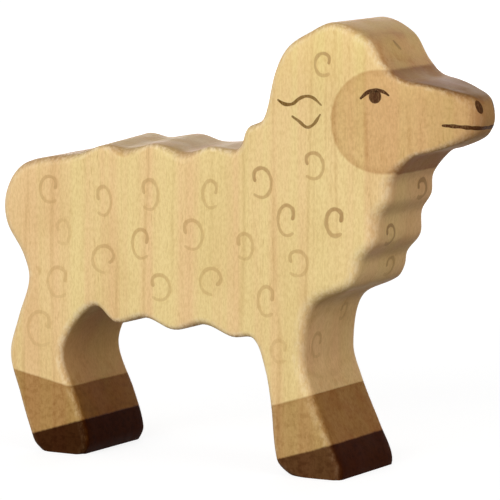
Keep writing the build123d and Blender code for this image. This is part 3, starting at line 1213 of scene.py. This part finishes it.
        # Painted shade: the nose's front and the bridge's top are darker, the bridge more so towards the
        # nose.
        deepening = graph.ramp(face_depth, 0.0, self.bridge_shade_depth, self.bridge_shade_start, 1.0)
        upper = graph.times(graph.ramp(facing_z, *self.bridge_facing), deepening)
        turned = graph.math("MAXIMUM", graph.ramp(facing_x, *self.nose_facing), upper)
        colour = graph.tint(graph.times(face, turned), colour, self.painted_face_shade)
        colour = graph.tint(graph.times(face, upper), colour, self.painted_bridge_shade)
        legs = ((stains.rear, self.rear_leg, on_rear), (stains.front, self.front_leg, on_front))
        socks = []
        for leg, colours, limit in legs:
            socks.append(under(leg.sock_height, leg.sock_slope, leg.middle))
            colour, _ = inside(socks[-1], colours.sock, colour, limit)
        in_sock = graph.math("GREATER_THAN", graph.math("MAXIMUM", *socks), 0.0)
        low = graph.math("LESS_THAN", z, 2 * stains.front.sock_height)
        # Painted shade: sock faces turned forward or back are darker.
        colour = graph.tint(graph.times(graph.times(in_sock, fore_aft_facing), low), colour, self.painted_sock_shade)
        hooves = []
        for leg, colours, limit in legs:
            depth = under(stains.hoof_height, stains.hoof_slope, leg.middle)
            colour, hoof = inside(depth, colours.hoof, colour, limit, covering=thick)
            # Painted shade: hoof faces turned forward or back are tinted.
            colour = graph.tint(graph.times(hoof, fore_aft_facing), colour, colours.painted_hoof_shade)
            hooves.append(hoof)
        return colour, graph.math("MAXIMUM", *hooves)

    def face_depth(self, graph: Graph, x: Socket, z: Socket) -> Socket:
        """Measures how far a point is inside the face's stain.

        Args:
            graph: Graph of the group.
            x: Distance ahead of the rump.
            z: Height over the floor.

        Returns:
            The distance in millimetres.
        """
        stains = self.stains
        off_x = graph.math("SUBTRACT", x, stains.face_centre[0])
        off_z = graph.math("SUBTRACT", z, stains.face_centre[1])
        squares = [graph.math("POWER", off, 2.0) for off in (off_x, off_z)]
        disc = graph.math("SUBTRACT", stains.face_radius, graph.math("SQRT", graph.math("ADD", *squares)))
        sides = []
        for mark, sign in ((stains.brow_mark, 1.0), (stains.throat_mark, -1.0)):
            along_x, along_z = stains.ray(mark)
            across = graph.times(off_x, sign * along_z)
            sides.append(graph.math("SUBTRACT", across, graph.times(off_z, sign * along_x)))
        return graph.math("MAXIMUM", disc, graph.math("MINIMUM", *sides))


@dataclass(frozen=True, kw_only=True)
class WoodFinish:
    """Stained and waxed wood of one material slot."""

    slot: Slot
    sheen_level: float
    bump_strength: float = 0.16
    bump_depth: float = 0.00012

    def surface(self, graph: Graph, wood: bpy.types.Node) -> list[Socket]:
        """Gives the colour, roughness and height of the wood."""
        return [wood.outputs[name] for name in ("Colour", "Roughness", "Height")]

    def material(self, grain: bpy.types.NodeTree) -> Material:
        """Builds the material on the shared grain.

        Args:
            grain: Node group of the wood.

        Returns:
            The material.
        """
        made = bpy.data.materials.new(self.slot.value)
        made.use_nodes = True
        graph = Graph(made.node_tree)
        shader = made.node_tree.nodes["Principled BSDF"]
        colour, rough, height = self.surface(graph, graph.node("ShaderNodeGroup", node_tree=grain))
        graph.feed(shader.inputs["Base Color"], colour)
        graph.feed(shader.inputs["Roughness"], rough)
        bump = graph.node("ShaderNodeBump")
        bump.inputs["Strength"].default_value = self.bump_strength
        bump.inputs["Distance"].default_value = self.bump_depth
        graph.feed(bump.inputs["Height"], height)
        graph.feed(shader.inputs["Normal"], bump.outputs["Normal"])
        shader.inputs["Specular IOR Level"].default_value = self.sheen_level
        return made


@dataclass(frozen=True, kw_only=True)
class PaintFinish(WoodFinish):
    """Brushed paint that thins out over the wood."""

    colour: Colour
    thin_colour: Colour
    edge: Flat
    opacity: float = 1.0
    sheen_level: float = 0.05
    bump_strength: float = 0.12
    bump_depth: float = 0.0001
    dry_brush: Speckle = Speckle((0.3, 0.3, 1.1), (0.25, 0.6), (0.8, 1.0), 3.0, 0.6)
    ragged: float = 0.3
    full_strength: Flat = (0.3, 0.9)
    smoothing: float = 0.1

    def surface(self, graph: Graph, wood: bpy.types.Node) -> list[Socket]:
        """Lays the paint on the wood.

        Args:
            graph: Graph of the material.
            wood: Node of the shared grain.

        Returns:
            The sockets of the colour, the roughness and the height.
        """
        bare, rough, height = super().surface(graph, wood)
        across = graph.node("ShaderNodeAttribute", attribute_name="across").outputs["Fac"]
        strength = graph.node("ShaderNodeAttribute", attribute_name="strength").outputs["Fac"]
        place_mm = graph.node("ShaderNodeVectorMath", operation="SCALE")
        graph.feed(place_mm.inputs[0], graph.node("ShaderNodeTexCoord").outputs["Object"])
        place_mm.inputs["Scale"].default_value = 1 / MM
        dry = graph.noise(place_mm.outputs[0], self.dry_brush)
        rags = graph.times(graph.math("SUBTRACT", dry, 0.5), self.ragged)
        body = graph.ramp(graph.math("ADD", graph.math("ABSOLUTE", across), rags), *self.edge, 1.0, 0.0)
        laid = graph.times(strength, self.opacity, clamp=True)
        cover = graph.times(graph.times(body, laid), graph.shown(dry, self.dry_brush), clamp=True)
        paint = graph.mix(graph.ramp(strength, *self.full_strength), self.thin_colour, self.colour)
        smoother = graph.math("MULTIPLY_ADD", cover, -self.smoothing, rough)
        return [graph.mix(cover, bare, paint), smoother, graph.math("ADD", height, cover)]


@dataclass(frozen=True)
class Stroke:
    """One brush stroke, from its first point to its last."""

    points: tuple[Flat, ...]
    start_width: float
    end_width: float
    start_strength: float = 1.0
    end_strength: float = 1.0
    taper: float = 0.0


@dataclass(frozen=True)
class Dab:
    """One round or oval touch of the brush."""

    centre: Flat
    radii: Flat
    tilt: float = 0.0
    strength: float = 1.0


class Opening(Enum):
    """Way that a curl opens: mirrored or not, and its turn in degrees."""

    FRONT = (1, 0.0)
    REAR = (-1, 0.0)
    FRONT_LOW = (1, -35.0)


@dataclass(frozen=True)
class Curl:
    """One fleece curl: an open oval that starts with a small hook and thins out."""

    x: float
    z: float
    opens: Opening = Opening.FRONT
    radii: Flat = (2.2, 3.1)
    strength: float = 0.53
    start_width: float = 1.05
    end_width: float = 0.78
    start_turn: float = 2.0
    end_turn: float = 308.0
    steps: int = 14
    hook_start: float = 0.6
    hook_growth: float = 0.4
    hook_rate: float = 7.5
    flare_rate: float = 1.2
    flare_start: float = 0.75
    end_fade: float = 0.65

    def stroke(self) -> Stroke:
        """Draws the curl.

        Returns:
            The curl as a brush stroke.
        """
        mirror, turn = self.opens.value
        lean = math.radians(turn)
        points = []
        for k in range(self.steps + 1):
            share = k / self.steps
            angle = math.radians(self.start_turn + share * (self.end_turn - self.start_turn))
            hook = self.hook_start + self.hook_growth * min(1.0, share * self.hook_rate)
            flare = 1.0 + self.flare_rate * max(0.0, share - self.flare_start)
            across = self.radii[0] * hook * flare * math.cos(angle)
            up = self.radii[1] * (hook * math.sin(angle))
            spin_x = across * math.cos(lean) - up * math.sin(lean)
            spin_z = across * math.sin(lean) + up * math.cos(lean)
            points.append((self.x + mirror * spin_x, self.z + spin_z))
        faded = self.end_fade * self.strength
        return Stroke(tuple(points), self.start_width, self.end_width, self.strength, faded)


@dataclass
class Brush:
    """Lays strokes and dabs on the wood as thin closed films, sized in millimetres."""

    surface: BVHTree
    muzzle_axis: float = 103.0
    muzzle_reach: float = 9.5
    outside: float = 60.0
    film: float = 0.03
    sunk: float = 0.12
    step: float = 0.28
    columns: int = 6
    unsteady: float = 0.3
    unsteady_level: float = 3.7
    tapered_share: float = 0.5
    blunt_share: float = 0.12
    dab_spokes: int = 28
    dab_rings: int = 5

    def land(self, lay: Lay, first: float, height: float) -> tuple[Vector, Vector]:
        """Finds where a point of a mark meets the wood.

        Args:
            lay: Way in which the mark is laid on.
            first: X on a side, Y on the chest, way round the muzzle from its front.
            height: Height over the floor.

        Returns:
            The place on the wood and its outward direction, in frame metres.
        """
        if lay is Lay.CHEST:
            start, aim = to_frame(2 * self.outside, first, height), Vector((-1, 0, 0))
        elif lay is Lay.MUZZLE:
            angle = first / self.muzzle_reach
            ahead, aside = math.cos(angle), math.sin(angle)
            start = to_frame(self.muzzle_axis + self.outside * ahead, self.outside * aside, height)
            aim = Vector((-ahead, -aside, 0))
        else:
            sign = -1 if lay is Lay.RIGHT_SIDE else 1
            start, aim = to_frame(first, sign * self.outside, height), Vector((0, -sign, 0))
        place_on, normal, _, _ = self.surface.ray_cast(start, aim)
        if normal.dot(aim) > 0:
            normal = -normal
        return place_on, normal

    def film_mesh(self, lay: Lay, strokes: list[Stroke], dabs: list[Dab]) -> Mesh:
        """Builds all marks of one node as one mesh.

        Args:
            lay: Way in which the marks are laid on.
            strokes: Brush strokes.
            dabs: Touches of the brush.

        Returns:
            The mesh in frame metres, with its across and strength layers.
        """
        mesh = bmesh.new()
        mesh.verts.layers.float.new("across")
        mesh.verts.layers.float.new("strength")
        for stroke in strokes:
            self.lay_stroke(mesh, lay, stroke)
        for dab in dabs:
            self.lay_dab(mesh, lay, dab)
        bmesh.ops.recalc_face_normals(mesh, faces=mesh.faces)
        return mesh

    def corner(
        self, mesh: Mesh, lay: Lay, at: Flat, across: float, strength: float
    ) -> tuple[bmesh.types.BMVert, ...]:
        """Adds a film's two corners at one point of a mark.

        Args:
            mesh: Mesh that takes the corners.
            lay: Way in which the mark is laid on.
            at: The point, as the lay counts it.
            across: Place across the mark, 0 in its middle and 1 at its edge.
            strength: Strength of the paint.

        Returns:
            The upper and the lower corner.
        """
        place_on, normal = self.land(lay, *at)
        pair = []
        for lift in (self.film, -self.sunk):
            corner = mesh.verts.new(place_on + normal * lift * MM)
            corner[mesh.verts.layers.float["across"]] = across
            corner[mesh.verts.layers.float["strength"]] = strength
            pair.append(corner)
        return tuple(pair)

    def lay_stroke(self, mesh: Mesh, lay: Lay, stroke: Stroke) -> None:
        """Lays one stroke as a ribbon with round ends.

        Args:
            mesh: Mesh that takes the ribbon.
            lay: Way in which it is laid on.
            stroke: The stroke.
        """
        line = self.smooth_line(stroke.points)
        lengths = [0.0]
        for p, q in zip(line, line[1:]):
            lengths.append(lengths[-1] + math.dist(p, q))
        rows = []
        for i, (x, z) in enumerate(line):
            share = lengths[i] / lengths[-1]
            behind, ahead = line[max(0, i - 1)], line[min(len(line) - 1, i + 1)]
            run = math.dist(behind, ahead)
            side_x, side_z = -(ahead[1] - behind[1]) / run, (ahead[0] - behind[0]) / run
            half = (stroke.start_width + share * (stroke.end_width - stroke.start_width)) / 2
            half *= 1 + self.unsteady * noise.noise(Vector((x, z, self.unsteady_level)))
            to_end = min(lengths[i], lengths[-1] - lengths[i])
            if to_end < stroke.taper:
                half *= self.tapered_share + (1 - self.tapered_share) * to_end / stroke.taper
            half *= max(self.blunt_share, math.sqrt(1 - (1 - min(1.0, to_end / half)) ** 2))
            strength = stroke.start_strength + share * (stroke.end_strength - stroke.start_strength)
            row = []
            for k in range(self.columns + 1):
                across = 2 * k / self.columns - 1
                at = (x + across * half * side_x, z + across * half * side_z)
                row.append(self.corner(mesh, lay, at, across, strength))
            rows.append(row)
        self.close_film(mesh, rows)

    def close_film(self, mesh: Mesh, rows: list[list[tuple[bmesh.types.BMVert, ...]]]) -> None:
        """Joins rows of upper and lower corners to a closed ribbon.

        Args:
            mesh: Mesh that takes the faces.
            rows: Corners across the stroke, row by row.
        """
        for near, far in zip(rows, rows[1:]):
            for k in range(len(near) - 1):
                for level in (0, 1):
                    mesh.faces.new((near[k][level], near[k + 1][level], far[k + 1][level], far[k][level]))
            for k in (0, -1):
                mesh.faces.new((near[k][0], far[k][0], far[k][1], near[k][1]))
        for row in (rows[0], rows[-1]):
            for k in range(len(row) - 1):
                mesh.faces.new((row[k][0], row[k + 1][0], row[k + 1][1], row[k][1]))

    def smooth_line(self, points: tuple[Flat, ...]) -> list[Flat]:
        """Runs a smooth line through the points of a stroke.

        Args:
            points: Points of the stroke.

        Returns:
            Close points along the line.
        """
        line = []
        last = len(points) - 1
        for i in range(last):
            start, end = points[i], points[i + 1]
            before, after = points[max(0, i - 1)], points[min(last, i + 2)]
            leave = tuple((q - p) / 2 for p, q in zip(before, end))
            reach = tuple((q - p) / 2 for p, q in zip(start, after))
            steps = max(2, math.ceil(math.dist(start, end) / self.step))
            line += [hermite(start, end, leave, reach, k / steps) for k in range(steps)]
        return line + [points[last]]

    def lay_dab(self, mesh: Mesh, lay: Lay, dab: Dab) -> None:
        """Lays one dab as an oval film.

        Args:
            mesh: Mesh that takes the oval.
            lay: Way in which it is laid on.
            dab: The dab.
        """
        spokes = self.dab_spokes
        lean = math.radians(dab.tilt)
        middle = self.corner(mesh, lay, dab.centre, 0.0, dab.strength)
        inner = [middle] * spokes
        for ring in range(1, self.dab_rings + 1):
            share = ring / self.dab_rings
            outer = []
            for k in range(spokes):
                angle = 2 * math.pi * k / spokes
                along, up = dab.radii[0] * share * math.cos(angle), dab.radii[1] * share * math.sin(angle)
                at_x = dab.centre[0] + along * math.cos(lean) - up * math.sin(lean)
                at_z = dab.centre[1] + along * math.sin(lean) + up * math.cos(lean)
                outer.append(self.corner(mesh, lay, (at_x, at_z), share, dab.strength))
            for k in range(spokes):
                j = (k + 1) % spokes
                for level in (0, 1):
                    corners = [inner[k][level], outer[k][level], outer[j][level], inner[j][level]]
                    mesh.faces.new(dict.fromkeys(corners))
            inner = outer
        for k in range(spokes):
            j = (k + 1) % spokes
            mesh.faces.new((inner[k][0], inner[j][0], inner[j][1], inner[k][1]))


@dataclass
class PaintedMarks:
    """Eyes, ear outlines, muzzle marks and fleece curls painted on the wood.

    The lid, the pupil and the ear lines are placed from the brow. Curls on the chest and the forelock are
    placed across the figure from its middle, and the nostril and the mouth round the muzzle from its front.
    """

    brush: Brush
    brow: Flat
    finishes: dict[Slot, Material]
    smooth_angle: float = math.radians(60.0)
    lid: Stroke = Stroke(
        ((-8.2, -4.4), (-6.6, -3.0), (-5.0, -2.5), (-3.3, -2.7), (-1.9, -3.6)), 0.88, 0.75, taper=1.8
    )
    pupil: Dab = Dab((-4.95, -3.75), (1.35, 1.5))
    ear_top: Stroke = Stroke(
        (
            (-27.4, -5.2), (-25.7, -6.1), (-23.8, -6.0), (-22.1, -4.8),
            (-20.4, -4.25), (-18.7, -4.6), (-16.8, -6.1),
        ),
        0.78, 0.6, 0.56, 0.46, 2.0,
    )
    ear_tip: Stroke = Stroke(
        ((-24.0, -8.5), (-22.3, -9.5), (-20.4, -10.7), (-18.7, -10.0), (-17.1, -7.8)),
        0.74, 0.6, 0.5, 0.46, 1.5,
    )
    nostril: Dab = Dab((3.4, 79.0), (0.9, 1.45), -20.0)
    mouth_height: float = 74.9
    mouth_reach: int = 9
    mouth_stretch: float = 1.35
    mouth_sag: float = 0.35
    mouth_bend: float = 3.0
    mouth_width: float = 0.82
    mouth_taper: float = 2.5
    forelock: Stroke = Stroke(((-1.3, 91.9), (-0.7, 90.9), (0.2, 89.9)), 1.2, 0.8, 0.9, 0.6)
    side_curls: tuple[Curl, ...] = (
        Curl(12.6, 57.6, Opening.FRONT, (2.3, 2.8)),
        Curl(26.4, 55.8, Opening.REAR, (1.9, 3.1)),
        Curl(38.0, 57.8, Opening.REAR, (2.1, 3.2)),
        Curl(53.1, 58.7, Opening.FRONT, (1.9, 2.9)),
        Curl(16.0, 48.5, Opening.REAR, (1.8, 2.6), 0.3),
        Curl(26.3, 43.3, Opening.FRONT_LOW, (2.6, 2.9)),
        Curl(35.8, 47.1, Opening.FRONT, (2.1, 3.1), 0.6),
        Curl(48.6, 49.8, Opening.REAR, (2.5, 3.1)),
        Curl(14.7, 37.5, Opening.FRONT, (2.6, 3.2), 0.4),
        Curl(40.5, 38.0, Opening.REAR, (2.5, 2.7)),
        Curl(53.1, 40.2, Opening.FRONT_LOW, (2.5, 2.8), 0.5),
        Curl(10.0, 27.0, Opening.FRONT, (3.1, 3.7), 0.35),
        Curl(65.5, 61.8, Opening.REAR, (2.4, 3.1), 0.78),
        Curl(61.4, 48.1, Opening.REAR, (2.0, 2.7), 0.5),
        Curl(71.6, 54.2, Opening.FRONT, (2.1, 3.2), 0.75),
        Curl(83.0, 54.4, Opening.FRONT, (2.0, 2.8), 0.85, 1.2, 1.0),
        Curl(78.0, 66.0, Opening.REAR, (2.3, 2.7), 0.72),
        Curl(80.2, 87.2, Opening.FRONT, (1.9, 2.3), 0.75),
        Curl(74.2, 45.3, Opening.REAR, (2.4, 2.6)),
        Curl(66.7, 36.8, Opening.FRONT, (2.0, 3.1)),
        Curl(69.8, 26.4, Opening.FRONT, (1.9, 2.3), 0.3),
    )
    front_curls: tuple[Curl, ...] = (
        Curl(4.2, 60.6, Opening.REAR, (2.0, 1.9), 0.95, 1.3, 1.0),
        Curl(-4.6, 51.6, Opening.REAR, (1.9, 2.0), 0.95),
        Curl(3.0, 43.9, Opening.REAR, (1.8, 1.9), 0.7),
        Curl(4.0, 33.5, Opening.REAR, (1.3, 1.7), 0.6),
        Curl(-5.8, 27.3, Opening.FRONT, (2.1, 2.5), 0.5),
    )

    def from_brow(self, stroke: Stroke) -> Stroke:
        """Moves a stroke to its place by the brow."""
        return replace(stroke, points=tuple(shifted(self.brow, point) for point in stroke.points))

    def mouth(self) -> Stroke:
        """Draws the mouth line round the muzzle.

        Returns:
            The line as a brush stroke.
        """
        points = []
        for along in range(-self.mouth_reach, self.mouth_reach + 1, 2):
            sag = self.mouth_sag * math.cos(along / self.mouth_bend)
            points.append((self.mouth_stretch * along, self.mouth_height - sag))
        return Stroke(tuple(points), self.mouth_width, self.mouth_width, taper=self.mouth_taper)

    def paint(self, node: str, lay: Lay, slot: Slot, strokes: list[Stroke], dabs: list[Dab]) -> None:
        """Lays the marks of one node and places them as a piece.

        Args:
            node: The node that the marks stand for.
            lay: Way in which they are laid on.
            slot: Slot of the paint.
            strokes: Brush strokes.
            dabs: Touches of the brush.
        """
        mesh = self.brush.film_mesh(lay, strokes, dabs)
        place(f"{node}_paint", mesh, self.finishes[slot], node, self.smooth_angle)

    def build(self) -> None:
        """Paints both sides, the muzzle and the chest."""
        dark, ochre = Slot.DARK_PAINT, Slot.OCHRE_PAINT
        lid = self.from_brow(self.lid)
        pupil = replace(self.pupil, centre=shifted(self.brow, self.pupil.centre))
        ear = [self.from_brow(line) for line in (self.ear_top, self.ear_tip)]
        curls = [curl.stroke() for curl in self.side_curls]
        for name, lay in (("right", Lay.RIGHT_SIDE), ("left", Lay.LEFT_SIDE)):
            self.paint(f"{name}_eye", lay, dark, [lid], [pupil])
            self.paint(f"{name}_ear_outline", lay, dark, ear, [])
            self.paint(f"{name}_fleece_curls", lay, ochre, curls, [])
        self.paint("mouth_line", Lay.MUZZLE, dark, [self.mouth()], [])
        across, height = self.nostril.centre
        for name, side in (("right_nostril", Side.RIGHT), ("left_nostril", Side.LEFT)):
            centre, tilt = (side.value * across, height), side.value * self.nostril.tilt
            self.paint(name, Lay.MUZZLE, dark, [], [replace(self.nostril, centre=centre, tilt=tilt)])
        chest = [curl.stroke() for curl in self.front_curls]
        self.paint("chest_curls", Lay.CHEST, ochre, chest + [self.forelock], [])


@dataclass
class Studio:
    """White floor and sky, three large soft lamps and the camera, placed in metres."""

    target: Vector = to_frame(55.5, 0.0, 45.65)
    azimuth: float = math.radians(30.0)
    elevation: float = math.radians(7.0)
    distance: float = 0.862
    lens: float = 290.0
    sensor: float = 36.0
    white: Colour = (1.0, 1.0, 1.0, 1.0)
    floor_reach: float = 4.0
    floor_white: Colour = (0.28, 0.28, 0.28, 1.0)
    floor_glow: float = 0.84
    floor_fade: Flat = (0.15, 0.6)
    sky_level: float = 0.24
    key_from: Triple = (-0.04, -0.97, 0.2)
    fill_from: Triple = (0.93, -0.08, 0.34)
    back_from: Triple = (-0.35, 0.93, 0.08)
    key_watts: float = 13.4
    fill_watts: float = 3.3
    back_watts: float = 11.5
    lamp_distance: float = 1.1
    lamp_size: float = 1.0

    def build(self) -> None:
        """Sets up floor, sky, lamps and camera."""
        self.floor()
        self.sky()
        self.lamp("side_lamp", self.key_from, self.key_watts)
        self.lamp("front_lamp", self.fill_from, self.fill_watts)
        self.lamp("back_lamp", self.back_from, self.back_watts)
        self.camera()
        bpy.context.scene.view_settings.view_transform = "Standard"

    def seen_ray(self, graph: Graph) -> Socket:
        """Tells the rays that show the background from those that light the figure.

        Args:
            graph: Graph of the floor or the sky.

        Returns:
            A socket that is 1 for camera, glossy and transmission rays.
        """
        rays = graph.node("ShaderNodeLightPath").outputs
        mirror = graph.math("MAXIMUM", rays["Is Glossy Ray"], rays["Is Transmission Ray"])
        return graph.math("MAXIMUM", rays["Is Camera Ray"], mirror)

    def floor(self) -> None:
        """Lays a pale floor that reads white and keeps a soft shadow."""
        reach = self.floor_reach
        corners = [(-reach, -reach, 0), (reach, -reach, 0), (reach, reach, 0), (-reach, reach, 0)]
        data = bpy.data.meshes.new("studio_floor")
        data.from_pydata(corners, [], [(0, 1, 2, 3)])
        made = bpy.data.materials.new("pale_floor")
        made.use_nodes = True
        graph = Graph(made.node_tree)
        made.node_tree.nodes.clear()
        matte = graph.node("ShaderNodeBsdfDiffuse")
        matte.inputs["Color"].default_value = self.floor_white
        glow = graph.node("ShaderNodeEmission")
        far = graph.node("ShaderNodeVectorMath", operation="LENGTH")
        graph.feed(far.inputs[0], graph.node("ShaderNodeTexCoord").outputs["Object"])
        level = graph.ramp(far.outputs["Value"], *self.floor_fade, self.floor_glow, 1.0)
        graph.feed(glow.inputs["Strength"], graph.times(level, self.seen_ray(graph)))
        both = graph.node("ShaderNodeAddShader")
        graph.feed(both.inputs[0], matte.outputs[0])
        graph.feed(both.inputs[1], glow.outputs[0])
        graph.feed(graph.node("ShaderNodeOutputMaterial").inputs["Surface"], both.outputs[0])
        data.materials.append(made)
        piece = bpy.data.objects.new("studio_floor", data)
        bpy.context.scene.collection.objects.link(piece)

    def sky(self) -> None:
        """Lights the scene evenly from all round, with white behind it."""
        world = bpy.data.worlds.new("studio_sky")
        world.use_nodes = True
        graph = Graph(world.node_tree)
        background = world.node_tree.nodes["Background"]
        background.inputs["Color"].default_value = self.white
        seen = self.seen_ray(graph)
        graph.feed(background.inputs["Strength"], graph.ramp(seen, 0.0, 1.0, self.sky_level, 1.0))
        bpy.context.scene.world = world

    def lamp(self, name: str, comes_from: Triple, watts: float) -> None:
        """Hangs a large soft lamp.

        Args:
            name: Name of the lamp.
            comes_from: Direction that its light comes from.
            watts: Its power.
        """
        data = bpy.data.lights.new(name, "AREA")
        data.energy = watts
        data.size = self.lamp_size
        lamp = bpy.data.objects.new(name, data)
        away = Vector(comes_from).normalized()
        lamp.location = self.target + away * self.lamp_distance
        lamp.rotation_euler = away.to_track_quat("Z", "Y").to_euler()
        bpy.context.scene.collection.objects.link(lamp)

    def camera(self) -> None:
        """Sets the camera at the photograph's angle."""
        data = bpy.data.cameras.new("camera")
        data.lens = self.lens
        data.sensor_width = self.sensor
        camera = bpy.data.objects.new("camera", data)
        level = math.cos(self.elevation)
        ahead, aside = math.sin(self.azimuth) * level, -math.cos(self.azimuth) * level
        back = Vector((ahead, aside, math.sin(self.elevation)))
        camera.location = self.target + back * self.distance
        camera.rotation_euler = back.to_track_quat("Z", "Y").to_euler()
        bpy.context.scene.collection.objects.link(camera)
        bpy.context.scene.camera = camera


ZONE_SLOTS = {
    Zone.FLEECE: Slot.PALE_MAPLE,
    Zone.FACE: Slot.TAN_STAIN,
    Zone.REAR_SOCK: Slot.SOCK_STAIN,
    Zone.REAR_HOOF: Slot.HOOF_STAIN,
    Zone.FRONT_SOCK: Slot.SOCK_STAIN,
    Zone.FRONT_HOOF: Slot.HOOF_STAIN,
}
FINISHES = (
    WoodFinish(slot=Slot.PALE_MAPLE, sheen_level=0.08),
    WoodFinish(slot=Slot.TAN_STAIN, sheen_level=0.06),
    WoodFinish(slot=Slot.SOCK_STAIN, sheen_level=0.06),
    WoodFinish(slot=Slot.HOOF_STAIN, sheen_level=0.012),
    PaintFinish(
        slot=Slot.DARK_PAINT,
        colour=(0.07, 0.024, 0.006, 1.0),
        thin_colour=(0.20, 0.10, 0.014, 1.0),
        edge=(0.9, 1.15),
        opacity=1.8,
    ),
    PaintFinish(
        slot=Slot.OCHRE_PAINT,
        colour=(0.36, 0.195, 0.07, 1.0),
        thin_colour=(0.48, 0.275, 0.095, 1.0),
        edge=(0.6, 1.0),
    ),
)


def main() -> None:
    """Builds the figure, its painted marks and the studio."""
    logging.basicConfig(level=logging.INFO, format="%(name)s: %(message)s")
    stains = StainMap()
    outline = SheepOutline()
    grain = MapleGrain(stains).group()
    finishes = {finish.slot: finish.material(grain) for finish in FINISHES}
    figure = CarvedFigure(outline, stains)
    figure.build(finishes, ZONE_SLOTS)
    PaintedMarks(Brush(figure.wood_surface()), outline.brow, finishes).build()
    Studio().build()


if __name__ == "__main__":
    main()
